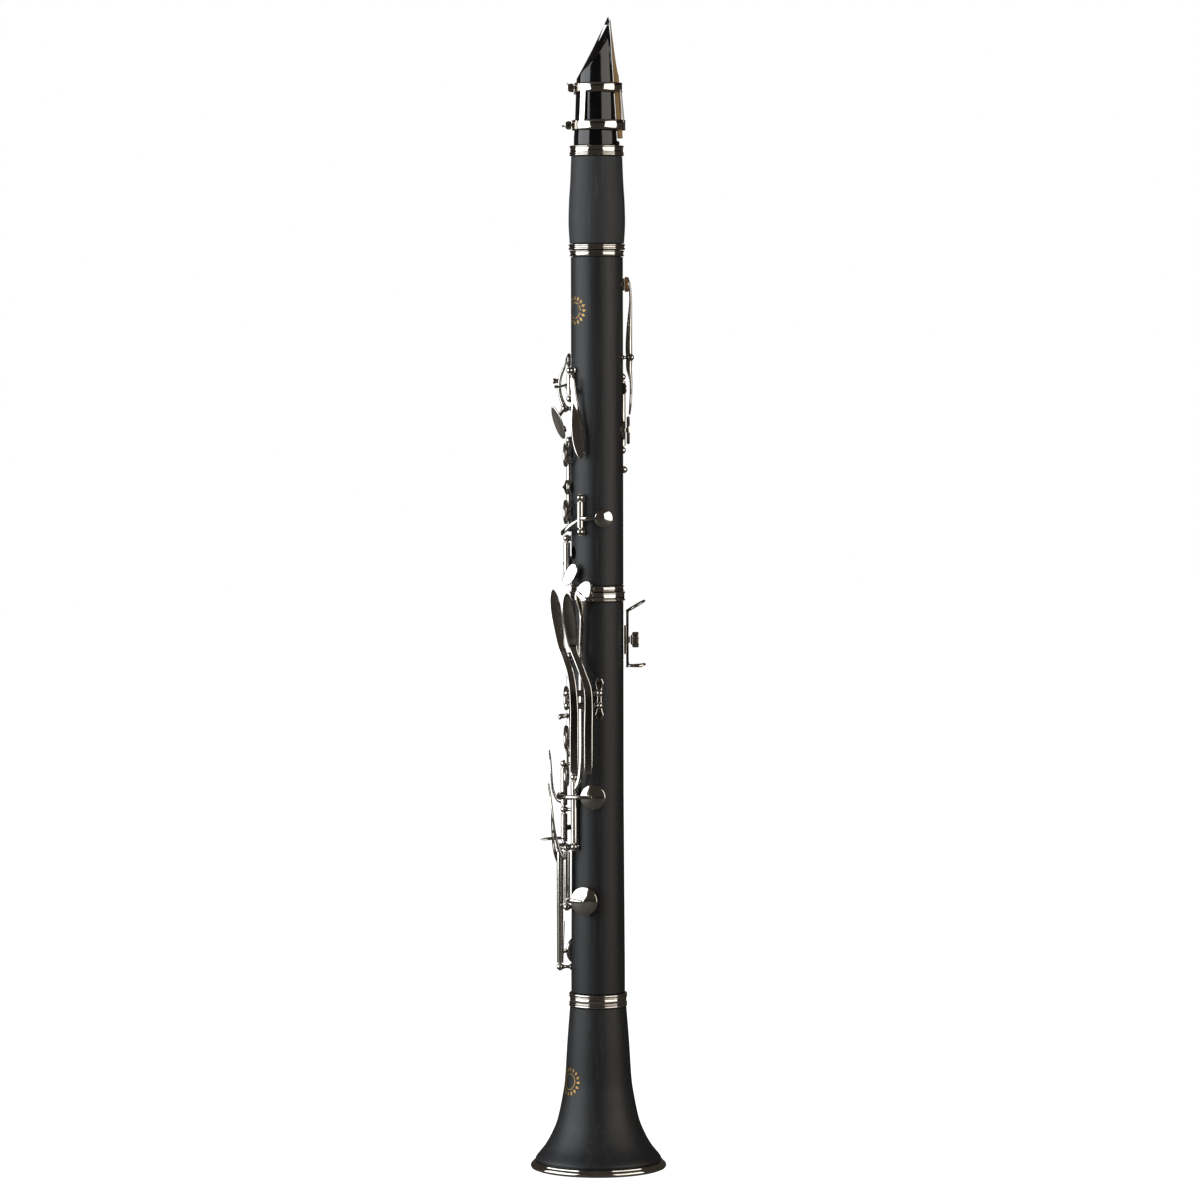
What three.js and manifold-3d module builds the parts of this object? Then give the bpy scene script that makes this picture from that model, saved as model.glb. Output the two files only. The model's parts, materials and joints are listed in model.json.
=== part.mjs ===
// A B flat clarinet with seventeen keys and six finger rings, standing on its bell.
// Millimetres. Z runs up the bore, the origin is the middle of the bell's mouth.
// The finger holes face -X, the thumb side faces +X, the player's left hand side faces -Y.
import * as THREE from "three";
import { mergeVertices } from "three/addons/utils/BufferGeometryUtils.js";
import Module from "manifold-3d";

const wasm = await Module();
wasm.setup();

// ---------- driving dimensions ----------
const gap = 0.3; // between pieces that touch
const boreRadius = 7.5;
const tubeRadius = 15; // outside of the upper and lower joints
const bellRimRadius = 39.4;
const bellTop = 102.6;
const lowerJointTop = 335;
const upperJointTop = 531.5;
const barrelTop = 591.6;
const tipHeight = 665;
const barrelRadius = 16.3; // widest part of the barrel
const barrelWaist = 14.7; // barrel just under its top ring
const tenonLength = 16;
const tenonRadius = 10.4;
const corkThickness = 0.6;
const tenonCollar = 4; // bare end of a tenon beyond its cork
const socketRadius = tenonRadius + gap + corkThickness + gap;
const ringWall = 1.2; // thickness of the metal rings
const mouthpieceRadius = 11.6; // where the sloping beak begins
const rodRadius = 0.9; // steel hinge rods
const hingeRadius = 1.9; // hinge tubes turning on the rods
const postRadius = 1.1;
const ballRadius = 2.1;
const armRadius = 1.25;
const toneHole = 3.8;
const padGap = 0.4; // a closed pad over its hole
const round = 20; // sides of the large turned pieces
const small = 7; // sides of the small turned pieces

// ---------- finishes ----------
const finish = (color, roughness, metalness) =>
  new THREE.MeshStandardMaterial({ color, roughness, metalness });
const ebony = finish(0x232325, 0.55, 0);
const barrelWood = finish(0x37383b, 0.6, 0);
const rubber = finish(0x0a0a0b, 0.12, 0);
const nickel = finish(0xcfc8bd, 0.15, 1);
const cane = finish(0xd8b070, 0.6, 0);
const cork = finish(0xb98550, 0.9, 0);

// ---------- geometry helpers ----------
function solid(geometry) {
  const plain = geometry.index ? geometry.toNonIndexed() : geometry.clone();
  const bare = new THREE.BufferGeometry().setAttribute("position", plain.getAttribute("position"));
  const merged = mergeVertices(bare, 1e-4);
  return new wasm.Manifold(
    new wasm.Mesh({
      numProp: 3,
      vertProperties: merged.attributes.position.array,
      triVerts: new Uint32Array(merged.index.array),
    }),
  );
}

const join = (...pieces) => pieces.reduce((sum, piece) => sum.add(piece));
const cut = (whole, ...tools) => tools.reduce((left, tool) => left.subtract(tool), whole);

// Places a shape whose own axes are X, Y, Z along the given directions.
function placed(geometry, origin, xAxis, yAxis, zAxis) {
  const matrix = new THREE.Matrix4().makeBasis(xAxis, yAxis, zAxis).setPosition(origin);
  return geometry.applyMatrix4(matrix);
}

const point = (x, y, z) => new THREE.Vector3(x, y, z);

// A point at an angle round the bore: 0 is the front, 90 the near side, 180 the thumb side.
function around(degrees, radius, z) {
  const angle = THREE.MathUtils.degToRad(degrees);
  return point(-radius * Math.cos(angle), -radius * Math.sin(angle), z);
}

// A profile of [radius, height] corners, listed up the outside and down the inside.
function turned(profile, sides = round) {
  const outline = profile.map(([radius, height]) => new THREE.Vector2(radius, height));
  if (profile[0][0] > 0) outline.push(outline[0].clone());
  return solid(new THREE.LatheGeometry(outline, sides).rotateX(Math.PI / 2));
}

const ringSolid = (inner, outer, low, high, sides = round) =>
  turned([[inner, low], [outer, low], [outer, high], [inner, high]], sides);

function rod(from, to, radius, sides = small, endRadius = radius) {
  const along = to.clone().sub(from);
  const shape = new THREE.CylinderGeometry(endRadius, radius, along.length(), sides);
  const turn = new THREE.Quaternion().setFromUnitVectors(point(0, 1, 0), along.clone().normalize());
  shape.applyQuaternion(turn);
  const middle = from.clone().add(to).multiplyScalar(0.5);
  return solid(shape.translate(middle.x, middle.y, middle.z));
}

function ball(centre, radius, sides = 6) {
  const shape = new THREE.SphereGeometry(radius, sides, 4);
  shape.translate(centre.x, centre.y, centre.z);
  return solid(shape);
}

// A round bar along a smooth line through the points.
function bar(points, radius = armRadius, steps = points.length + 1) {
  const section = new THREE.Shape().absarc(0, 0, radius, 0, Math.PI * 2);
  const curve = new THREE.CatmullRomCurve3(points);
  const shape = new THREE.ExtrudeGeometry(section, {
    steps, extrudePath: curve, bevelEnabled: false, curveSegments: 3,
  });
  return solid(shape);
}

// A flat plate from an outline of [along, across] points.
function plate(outline, thickness, origin, along, across) {
  const corners = outline.map(([u, v]) => new THREE.Vector2(u, v));
  const shape = new THREE.ExtrudeGeometry(new THREE.Shape(corners), {
    depth: thickness, bevelEnabled: false,
  });
  const u = along.clone().normalize();
  const n = u.clone().cross(across).normalize();
  const v = n.clone().cross(u);
  return solid(placed(shape, origin.clone().addScaledVector(n, -thickness / 2), u, v, n));
}

const model = new THREE.Group();
function node(name, body, material) {
  const raw = body.getMesh();
  const geometry = new THREE.BufferGeometry();
  geometry.setAttribute("position", new THREE.BufferAttribute(raw.vertProperties, raw.numProp));
  geometry.setIndex(new THREE.BufferAttribute(raw.triVerts, 1));
  geometry.computeVertexNormals();
  const mesh = new THREE.Mesh(geometry, material);
  mesh.name = name;
  model.add(mesh);
}

// ---------- the turned body, from the bell upwards ----------
const ringHeight = 3.4; // plain end rings
const bellRingHeight = 8.7;
const socketRingHeight = 5.6;
const rimHeight = 4;
const rimWall = 3.4;
const bellNeck = 16.4;
const bellWall = 4.6;
const jointFoot = tubeRadius + 0.6; // the lower joint swells a little towards the bell
const swellTop = 220;
const bellNeckHeight = bellTop - bellRingHeight;
const flare = [[1, 0], [0.75, 0.07], [0.56, 0.13], [0.44, 0.22], [0.31, 0.31], [0.19, 0.46], [0.125, 0.56],
  [0.07, 0.78]];
const flareRadius = (spread) => bellNeck + spread * (bellRimRadius - bellNeck);
const tenonEnd = bellTop - tenonLength;
const neckInside = bellNeck - ringWall - gap;
const rimInside = bellRimRadius - rimWall;
const lipRadius = rimInside - gap;

function bellBody() {
  const outside = flare.map(([height, spread]) => [flareRadius(spread), height * bellNeckHeight]).reverse();
  const inside = flare.slice(1).map(([height, spread]) =>
    [flareRadius(spread) - bellWall, height * bellNeckHeight]);
  return turned([
    [lipRadius - bellWall + rimWall / 2, gap], [lipRadius, gap], [lipRadius, rimHeight + gap], ...outside,
    [neckInside, bellNeckHeight], [neckInside, bellTop - gap], [socketRadius, bellTop - gap],
    [socketRadius, tenonEnd - gap], [boreRadius + 2, tenonEnd - gap], ...inside]);
}
node("bell", bellBody(), ebony);
const bead = 0.5; // how far the rolled edges of a ring stand proud
const rolled = 1.1; // height of a rolled edge

// A ring with a rolled bead at each end.
const beadedRing = (inner, outer, low, high) => turned([
  [inner, low], [outer, low], [outer + bead, low + rolled / 2], [outer, low + rolled],
  [outer, high - rolled], [outer + bead, high - rolled / 2], [outer, high], [inner, high]]);
node("bell_rim", turned([
  [rimInside, 0], [bellRimRadius - 0.8, 0], [bellRimRadius, 0.8], [bellRimRadius, 1.8],
  [bellRimRadius - 1.4, rimHeight], [rimInside, rimHeight]]), nickel);
node("bell_ring", beadedRing(neckInside + gap, bellNeck, bellNeckHeight + gap, bellTop - gap), nickel);

const corkRing = (low, high) => ringSolid(tenonRadius + gap, tenonRadius + gap + corkThickness, low, high);
node("lower_tenon_cork", corkRing(tenonEnd + tenonCollar, bellTop - 2 * gap), cork);

// Everything that is drilled into a joint: a hole at an angle round the bore and a height.
const drilled = (degrees, z, radius) =>
  rod(around(degrees, boreRadius - 3, z), around(degrees, tubeRadius + 6, z), radius);

const socketDepth = tenonLength + gap;
const middleSocket = lowerJointTop - socketDepth;
const ringSeat = tubeRadius - ringWall; // turned down seat under an end ring

// A joint of the body: a tube with a tenon below or above, a socket, and seats for its end rings.
const tenonProfile = (low, high) => [[tenonRadius, low], [tenonRadius, high]];
const fingerHoles = {
  left1: [8, 414], left2: [8, 381], left3: [20, 357.5], right1: [8, 273.4], right2: [8, 250.6],
  right3: [8, 229],
};
const registerHole = [180, 512];
const thumbHole = [180, 428];
const pads = {
  a: [-2, 468.5], gSharp: [-4, 454.5], thumb: [-152, 452], leftRing: [8, 395.3], sliver: [103, 377.7],
  cSharp: [-22, 351], rightRing: [-8, 293], rightSliver: [-78, 262], fSharp: [80, 217],
  aFlat: [-72, 197], f: [65, 157], e: [-50, 125],
};
const trillPads = [[-56, 462], [-76, 474], [-106, 486], [-126, 498]];
const drillAll = (holes, radius) => holes.map(([degrees, z]) => drilled(degrees, z, radius));
const registerTubeRadius = 3.6;
const thumbTubeRadius = 5.4;

node("lower_joint", cut(
  turned([
    [tenonRadius, tenonEnd], [tenonRadius, bellTop], [jointFoot, bellTop], [jointFoot, bellTop + 14],
    [tubeRadius, swellTop], [tubeRadius, lowerJointTop - socketRingHeight],
    [ringSeat, lowerJointTop - socketRingHeight], [ringSeat, lowerJointTop], [socketRadius, lowerJointTop],
    [socketRadius, middleSocket], [boreRadius, middleSocket], [boreRadius, tenonEnd]]),
  ...drillAll([fingerHoles.right1, fingerHoles.right2, fingerHoles.right3], toneHole),
  ...drillAll([pads.rightRing, pads.rightSliver], toneHole - 0.8),
  ...drillAll([pads.fSharp, pads.aFlat, pads.f, pads.e], toneHole + 1.4)), ebony);
node("socket_ring", beadedRing(ringSeat + gap, tubeRadius + 0.6, lowerJointTop - socketRingHeight + gap,
  lowerJointTop), nickel);
const upperJointLow = lowerJointTop + gap;
const upperRingTop = upperJointLow + ringHeight;
node("upper_joint", cut(
  turned([
    [tenonRadius, upperJointLow - tenonLength], [tenonRadius, upperJointLow], [ringSeat, upperJointLow],
    [ringSeat, upperRingTop + gap], [tubeRadius, upperRingTop + gap],
    [tubeRadius, upperJointTop - ringHeight - gap], [ringSeat, upperJointTop - ringHeight - gap],
    [ringSeat, upperJointTop], [tenonRadius, upperJointTop], [tenonRadius, upperJointTop + tenonLength],
    [boreRadius, upperJointTop + tenonLength], [boreRadius, upperJointLow - tenonLength]]),
  ...drillAll([fingerHoles.left1, fingerHoles.left2, fingerHoles.left3], toneHole),
  ...drillAll([pads.a, pads.gSharp, pads.thumb, pads.leftRing, pads.sliver, pads.cSharp, ...trillPads],
    toneHole - 1.4),
  drilled(...registerHole, registerTubeRadius + gap), drilled(...thumbHole, thumbTubeRadius + gap)), ebony);
node("upper_joint_bottom_ring", ringSolid(ringSeat + gap, tubeRadius + 0.5, upperJointLow, upperRingTop),
  nickel);
node("upper_joint_top_ring", ringSolid(ringSeat + gap, tubeRadius + 0.8, upperJointTop - ringHeight,
  upperJointTop), nickel);
node("middle_tenon_cork", corkRing(upperJointLow - tenonLength + tenonCollar, upperJointLow - gap), cork);
node("top_tenon_cork", corkRing(upperJointTop + gap, upperJointTop + tenonLength - tenonCollar), cork);

// The two metal tubes that are set into the upper joint.
function setTube([degrees, z], outer, inner, proud) {
  const from = around(degrees, boreRadius + 0.2, z);
  const to = around(degrees, tubeRadius + proud, z);
  const past = around(degrees, tubeRadius + proud + 1, z);
  return cut(rod(from, to, outer), rod(around(degrees, 0, z), past, inner));
}
node("register_tube", setTube(registerHole, registerTubeRadius, 1.6, 0.9), nickel);
node("thumb_tube", setTube(thumbHole, thumbTubeRadius, toneHole, 1.4), nickel);

// The barrel, with room in its sockets for the tenon above and below.
const barrelLow = upperJointTop + gap;
const barrelRingLow = barrelLow + ringHeight;
const barrelRingHeight = 6;
const barrelRingTop = barrelTop - barrelRingHeight;
const barrelSeat = barrelWaist - ringWall;
node("barrel", turned([
  [socketRadius, barrelLow], [barrelSeat, barrelLow], [barrelSeat, barrelRingLow + gap],
  [barrelRadius - 0.5, barrelRingLow + gap], [barrelRadius, barrelLow + 16], [barrelRadius - 0.3,
  barrelLow + 28],
  [barrelWaist + 0.5, barrelRingTop - 12], [barrelWaist, barrelRingTop - gap], [barrelSeat,
  barrelRingTop - gap],
  [barrelSeat, barrelTop], [socketRadius, barrelTop], [socketRadius, barrelTop - socketDepth],
  [boreRadius, barrelTop - socketDepth], [boreRadius, barrelLow + socketDepth],
  [socketRadius, barrelLow + socketDepth]]), barrelWood);
node("barrel_bottom_ring", beadedRing(barrelSeat + gap, barrelRadius - 0.5, barrelLow, barrelRingLow),
  nickel);
node("barrel_top_ring", beadedRing(barrelSeat + gap, barrelWaist + 0.5, barrelRingTop, barrelTop), nickel);

// ---------- mouthpiece, reed and ligature ----------
const facing = { buttX: 11.6, tipX: 7.2, low: 594, butt: 596 }; // the flat table that the reed lies on
const heel = { x: -mouthpieceRadius + 0.2, z: 630 }; // where the sloping beak begins
const beakTipX = facing.tipX - 1;
const reedWidth = 12.4;
const reedThickness = 3.2;
const reedArch = 12.4; // radius of the rounded bark
const cheek = 0.5; // how far the table reaches past the reed on each side
const reedTip = 0.4;

// A prism across the bore from an outline of [x, z] corners.
function prism(outline, width) {
  const shape = new THREE.ExtrudeGeometry(new THREE.Shape(outline.map(([x, z]) => new THREE.Vector2(x,
  z))), {
    depth: width, bevelEnabled: false,
  });
  return solid(shape.rotateX(Math.PI / 2).translate(0, width / 2, 0));
}
const tableX = (z) => {
  const share = (z - facing.butt) / (tipHeight - facing.butt);
  return THREE.MathUtils.lerp(facing.buttX, facing.tipX, share);
};
const mouthpieceLow = barrelTop + gap;
const foot = mouthpieceRadius + 1.6; // the shank is widest where it meets the barrel
const over = tipHeight + 5;
function mouthpiece() {
  const shank = turned([
    [0, mouthpieceLow - tenonLength], [tenonRadius, mouthpieceLow - tenonLength], [tenonRadius,
    mouthpieceLow],
    [foot, mouthpieceLow], [foot, mouthpieceLow + 5], [mouthpieceRadius, heel.z],
    [mouthpieceRadius - 1.4, heel.z + 15], [mouthpieceRadius - 3.4, tipHeight - 5],
    [mouthpieceRadius - 4.9, tipHeight], [0, tipHeight]]);
  const table = prism([[tableX(facing.low), facing.low], [40, facing.low], [40, over], [tableX(over),
  over]], 60);
  const slope = (beakTipX - heel.x) / (tipHeight - heel.z);
  const beak = prism([[heel.x - 20 * slope, heel.z - 20], [beakTipX + 5 * slope, over], [-40, over],
    [-40, heel.z - 20]], 60);
  const bore = rod(point(0, 0, mouthpieceLow - tenonLength - 1), point(0, 0, heel.z - 10), boreRadius, 16,
    boreRadius - 1);
  const window = prism([[20, heel.z - 8], [20, tipHeight - 3], [beakTipX - 0.6, tipHeight - 4],
    [heel.x + 6.5, heel.z + 2], [heel.x + 6.5, heel.z - 12], [5, heel.z - 12]], reedWidth - 3);
  const cheeks = prism([[0, mouthpieceLow + 2], [foot, mouthpieceLow + 2], [foot, tipHeight - 12],
    [0, tipHeight - 12]], reedWidth + 2 * cheek);
  return cut(join(shank, cheeks), table, beak, bore, window);
}
node("mouthpiece", mouthpiece(), rubber);
node("mouthpiece_cork", corkRing(mouthpieceLow - tenonLength + tenonCollar, mouthpieceLow - gap), cork);
const vampLow = 632; // where the cut of the reed begins
const reedTop = tipHeight - 0.4;
const onTable = (z, above) => [tableX(z) + above, z];
const blank = prism([onTable(facing.butt, gap), onTable(facing.butt, gap + reedThickness),
  onTable(vampLow, gap + reedThickness - 0.2), onTable(vampLow + 14, gap + 1.6), onTable(reedTop,
  gap + reedTip),
  onTable(reedTop, gap)], reedWidth);
const archAxis = (z) => point(tableX(z) + gap + reedThickness - reedArch, 0, z);
node("reed", blank.intersect(rod(archAxis(facing.butt - 1), archAxis(tipHeight + 1), reedArch, 40)), cane);

// Two bands that wrap the mouthpiece and the reed, joined by straps, with a lug pair at the front.
const bands = [
  { low: 600.5, high: 606.2, inner: 14.7, shift: 1.2 }, { low: 622.1, high: 627.5, inner: 13.1, shift: 1.0 },
];
const bandWall = 0.7;
const lug = { across: 3, radius: 2.3 };
const screwX = (band) => band.shift - band.inner - lug.radius - 0.2;
const screwZ = (band) => (band.low + band.high) / 2;
function ligature() {
  const rings = bands.map((band) => {
    const ring = solid(new THREE.LatheGeometry([
      [band.inner, band.low], [band.inner + bandWall, band.low], [band.inner + bandWall, band.high],
      [band.inner, band.high], [band.inner, band.low]].map(([r, z]) => new THREE.Vector2(r, z)), round)
      .rotateX(Math.PI / 2).translate(band.shift, 0, 0));
    const lugs = [1, -1].map((side) => rod(point(screwX(band), side * 1.2, screwZ(band)),
      point(screwX(band), side * (1.2 + lug.across), screwZ(band)), lug.radius));
    const hole = rod(point(screwX(band), -9, screwZ(band)), point(screwX(band), 9, screwZ(band)),
    rodRadius + gap);
    const split = prism([[-30, band.low - 1], [band.shift - 10, band.low - 1], [band.shift - 10,
    band.high + 1],
      [-30, band.high + 1]], 1.6);
    return cut(join(ring, ...lugs), hole, split);
  });
  const [lower, upper] = bands;
  const wallPoint = (band, degrees, z) =>
    around(degrees, band.inner + bandWall / 2, z).add(point(band.shift, 0, 0));
  const straps = [50, -50, 160, -160].map((degrees) => rod(wallPoint(lower, degrees, lower.high - 1),
    wallPoint(upper, degrees, upper.low + 1), 0.7, 6));
  return join(...rings, ...straps);
}
node("ligature", ligature(), nickel);
const wing = { reach: 4.2, thickness: 1.2 };
bands.forEach((band, index) => {
  const at = (y) => point(screwX(band), y, screwZ(band));
  const outside = 1.2 + lug.across + gap;
  const shank = rod(at(-outside - 1.2), at(outside + 5.4), rodRadius);
  const nut = rod(at(-outside - 1.4), at(-outside), lug.radius - 0.2);
  const collar = rod(at(outside), at(outside + 3.8), lug.radius - 0.4, small, lug.radius - 1);
  const blade = plate([[-wing.reach, -1.6], [-wing.reach, 1.6], [0, 1.0], [wing.reach, 1.6], [wing.reach,
  -1.6],
    [0, -1.0]], wing.thickness, at(outside + 5.6), index ? point(-0.6, 0, 0.8) : point(-1, 0, 0),
    point(0, 1, 0));
  node(index ? "ligature_screw_upper" : "ligature_screw_lower", join(shank, nut, collar, blade), nickel);
});

// ---------- keywork ----------
// How far from the axis something is that stands at a height over the wood.
const out = (height) => tubeRadius + height;
const lift = out(padGap); // underside of a closed pad
const cupDepth = 3;

// A pad cup: a short drum with a pointed back, its face towards the bore.
function padCup([degrees, z], radius, height, depth = cupDepth) {
  const rim = around(degrees, height, z);
  const shoulder = around(degrees, height + depth * 0.55, z);
  const back = around(degrees, height + depth, z);
  return join(rod(rim, shoulder, radius, 10), rod(shoulder, back, radius, 10, radius * 0.12));
}

// A hinge tube along a rod, with its bore.
function hingeTube(from, to) {
  const along = to.clone().sub(from).normalize();
  return {
    body: rod(from, to, hingeRadius),
    bore: rod(from.clone().addScaledVector(along, -40), to.clone().addScaledVector(along, 40),
      rodRadius + gap),
  };
}
const endPlay = ballRadius + 0.25; // from the middle of a ball post to the end of its hinge tube

// Posts with ball heads along a hinge rod. Each post stands on the body of the instrument.
function posts(...ends) {
  return join(...ends.flatMap((end) => [ball(end, ballRadius), rod(footOf(end), end, postRadius, 6)]),
    rod(ends[0], ends[ends.length - 1], rodRadius));
}
const pivot = (name, ...ends) => node(name, posts(...ends), nickel);
// Where a post meets the body, which swells towards the bell.
const footRadius = (z) => (z < swellTop ? jointFoot : tubeRadius);
function footOf(end) {
  const reach = Math.hypot(end.x, end.y);
  const share = (footRadius(end.z) + 2 * gap) / reach;
  return point(end.x * share, end.y * share, end.z);
}

// A key: its hinge tube between two posts, joined to its touches, arms and cups.
function key(name, from, to, ...parts) {
  const along = to.clone().sub(from).normalize();
  const tube = hingeTube(from.clone().addScaledVector(along, endPlay),
    to.clone().addScaledVector(along, -endPlay));
  node(name, cut(join(tube.body, ...parts), tube.bore), nickel);
}
const arc = (fromDegrees, toDegrees, radius, z, endRadius = radius, endZ = z, count = 4) =>
  Array.from({ length: count + 1 }, (_, step) => {
    const share = step / count;
    const mix = THREE.MathUtils.lerp;
    return around(mix(fromDegrees, toDegrees, share), mix(radius, endRadius, share), mix(z, endZ, share));
  });

// A finger ring round an open hole, lying across the direction that the hole faces.
function fingerRing([degrees, z], radius, height) {
  const low = around(degrees, height, z);
  const high = around(degrees, height + 1.8, z);
  const past = around(degrees, height + 6, z);
  const under = around(degrees, height - 6, z);
  return cut(rod(low, high, radius, 12), rod(under, past, radius - 1.9, 10));
}
// Angle at which a point this far to the side lies at this distance from the bore line.
const asideAngle = (side, distance) => THREE.MathUtils.radToDeg(Math.asin(side / distance));
const leaf = (length, width) => [[-length / 2, 0], [-length * 0.3, width * 0.42], [0, width / 2],
  [length * 0.36, width * 0.4], [length / 2, 0], [length * 0.36, -width * 0.4], [0, -width / 2],
  [-length * 0.3, -width * 0.42]];

// Register key, rocking on a rod across the thumb side.
const registerPivotZ = 470;
const registerX = out(4.2);
const registerAxis = [point(registerX, 6, registerPivotZ), point(registerX, -6, registerPivotZ)];
pivot("register_pivot", ...registerAxis);
key("register_key", ...registerAxis,
  padCup(registerHole, 4, tubeRadius + 0.9 + padGap, 2),
  bar([point(out(2.6), 0, registerHole[1] - 2), point(out(3.6), 0, 494), point(registerX, 0, registerPivotZ),
    point(out(5), 0, 454), point(out(3.8), 0, 444)]),
  plate(leaf(18, 7), 1.6, point(out(3.6), 0, 446), point(0.08, 0, 1), point(0, 1, 0)));

// Thumb ring with its own small pad.
const thumbSide = -143; // where its rod runs
const thumbAxis = [around(thumbSide, out(3.2), 416), around(thumbSide, out(3.2), 459)];
const thumbRingHeight = tubeRadius + 1.4 + 0.6;
const thumbRingReach = 6.818; // from the middle of the thumb ring to the end of its arm
pivot("thumb_ring_pivot", ...thumbAxis);
key("thumb_ring_key", ...thumbAxis, fingerRing(thumbHole, 8, thumbRingHeight),
  bar(arc(thumbSide, asideAngle(thumbRingReach, thumbRingHeight + 1.2) - 180, out(3.2), thumbHole[1],
    thumbRingHeight + 1.2)),
  padCup(pads.thumb, 3.4, lift + 1.2, 2.4), bar(arc(thumbSide, -150, out(3.2), pads.thumb[1]), 1, 4));

// Four side trill keys for the right hand, two on each rod, along the far side.
const trillSpread = 3.2; // from the middle of a rod to a key on it
const trillPairs = [
  { degrees: -66, pivotZ: 420, cups: [462, 474] }, { degrees: -116, pivotZ: 405, cups: [486, 498] },
];
const tangent = (degrees) => around(degrees + 90, -1, 0).negate();
const keyHeight = out(3.6); // usual height of a lever's middle over the bore
const touchHeight = out(5);
trillPairs.forEach(({ degrees, pivotZ, cups }, pair) => {
  const middle = around(degrees, keyHeight, pivotZ);
  const across = tangent(degrees);
  const halfRod = 8;
  const ends = [-halfRod, halfRod].map((offset) => middle.clone().addScaledVector(across, offset));
  pivot("trill_pivot_" + (pair + 1), ...ends);
  cups.forEach((cupZ, side) => {
    const offset = side ? -trillSpread : trillSpread;
    const seat = middle.clone().addScaledVector(across, offset);
    const outward = Math.hypot(seat.x, seat.y);
    const bearing = THREE.MathUtils.radToDeg(Math.atan2(-seat.y, -seat.x));
    const half = across.clone().multiplyScalar(trillSpread - 2 * gap);
    const tube = hingeTube(seat.clone().sub(half), seat.clone().add(half));
    const touch = around(bearing, touchHeight + 1, 360);
    node("trill_key_" + (2 * pair + side + 1), cut(join(tube.body,
      bar([around(bearing, touchHeight, 372), around(bearing, outward + 1, pivotZ - 20), seat,
        around(bearing, outward, pivotZ + 20), around(bearing, lift + cupDepth - 0.5, cupZ - 0.6)]),
      padCup([bearing, cupZ], 3.9, lift),
      plate(leaf(26, 6), 1.4, touch, point(0, 0, 1), tangent(bearing))), tube.bore), nickel);
  });
});

// Throat keys at the front.
const throatZ = 440.6;
const throatAxis = [point(-out(3.6), -5.6, throatZ), point(-out(3.6), 5.6, throatZ)];
pivot("a_key_pivot", ...throatAxis);
key("a_key", ...throatAxis, padCup(pads.a, 3.9, lift),
  bar([point(-out(3.4), 0, 467), point(-out(6.8), 0, 458), point(-out(6.8), 0, 450), point(-out(3.6), 0,
  throatZ)]),
  rod(point(-out(10.4), 0, 456.5), point(-out(6), 0, 456.5), 1.5),
  bar([point(-out(3.6), 0, throatZ), point(-out(6.6), 0, 438.5), point(-out(8.2), 0, 433)]),
  plate(leaf(19, 8), 1.6, point(-out(8.3), 0, 432), point(0.3, 0, -1), point(0, 1, 0)));
const gSharpAxis = [around(30, out(3), 462.9), around(30, out(3), 446)];
const teardrop = [[-22, 0], [-18, 1.6], [-6, 1.8], [6, 2.6], [15, 3.8], [21, 3.3], [24, 0], [21, -3.3],
  [15, -3.8],
  [6, -2.6], [-6, -1.8], [-18, -1.6]];
pivot("g_sharp_pivot", ...gSharpAxis);
key("g_sharp_key", ...gSharpAxis, padCup(pads.gSharp, 3.9, lift, 2.2),
  bar(arc(30, 0, out(3), 452, out(2.6), 453.5), 1.1), bar(arc(30, 47, out(3), 451, out(4.2), 450)),
  plate(teardrop, 1.6, around(52, out(4.4), 436), point(0.11, -0.06, -1), tangent(52)));

// Rings of the left hand, the sliver key beside them and the C sharp key below them.
const ringHeightOver = out(2.4); // underside of a finger ring over the bore
const ringOuter = 7;
const ringReach = 6.293; // from the middle of a ring to the end of its arm
const ringArm = (tubeDegrees, [degrees, z]) => {
  const end = degrees - asideAngle(ringReach, ringHeightOver + 1);
  return bar(arc(tubeDegrees, end, keyHeight - 0.4, z, ringHeightOver + 1), 1.2, 4);
};
const leftRingAxis = [around(-28, out(3.2), 422.5), around(-28, out(3.2), 371)];
pivot("left_ring_pivot", ...leftRingAxis);
key("left_ring_key", ...leftRingAxis,
  ...[fingerHoles.left1, fingerHoles.left2].flatMap((hole) =>
    [fingerRing(hole, ringOuter, ringHeightOver), ringArm(-28, hole)]),
  padCup(pads.leftRing, 4.3, lift + 1.4), bar(arc(-28, 0, out(3.2), pads.leftRing[1], out(3.6)), 1.2, 4));
const sliverAxis = [around(57, out(3), 389.9), around(57, out(3), 369.6)];
pivot("left_sliver_pivot", ...sliverAxis);
key("left_sliver_key", ...sliverAxis, padCup(pads.sliver, 5.4, lift),
  bar(arc(57, 98, out(3.2), pads.sliver[1], out(3))),
  bar([around(57, out(3.4), 377), around(44, out(5.4), 373.5), around(28, out(6.2), 370.4), around(12,
  out(5.8), 369)], 1.1));
const cSharpAxis = [around(0, out(2.6), 366), around(0, out(2.6), 340.4)];
pivot("c_sharp_pivot", ...cSharpAxis);
key("c_sharp_key", ...cSharpAxis, padCup(pads.cSharp, 4.2, lift, 5),
  bar([around(0, out(2.6), 351), around(-12, out(4.6), 351), around(-22, out(5.6), 351)], 1.1),
  bar([around(0, out(2.6), 343.5), around(16, out(4.4), 343.8), around(32, out(4.4), 344.5)]),
  plate(leaf(13, 9), 1.6, around(38, out(5), 345.4), point(0.5, -0.2, 0.9), tangent(38)));

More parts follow.
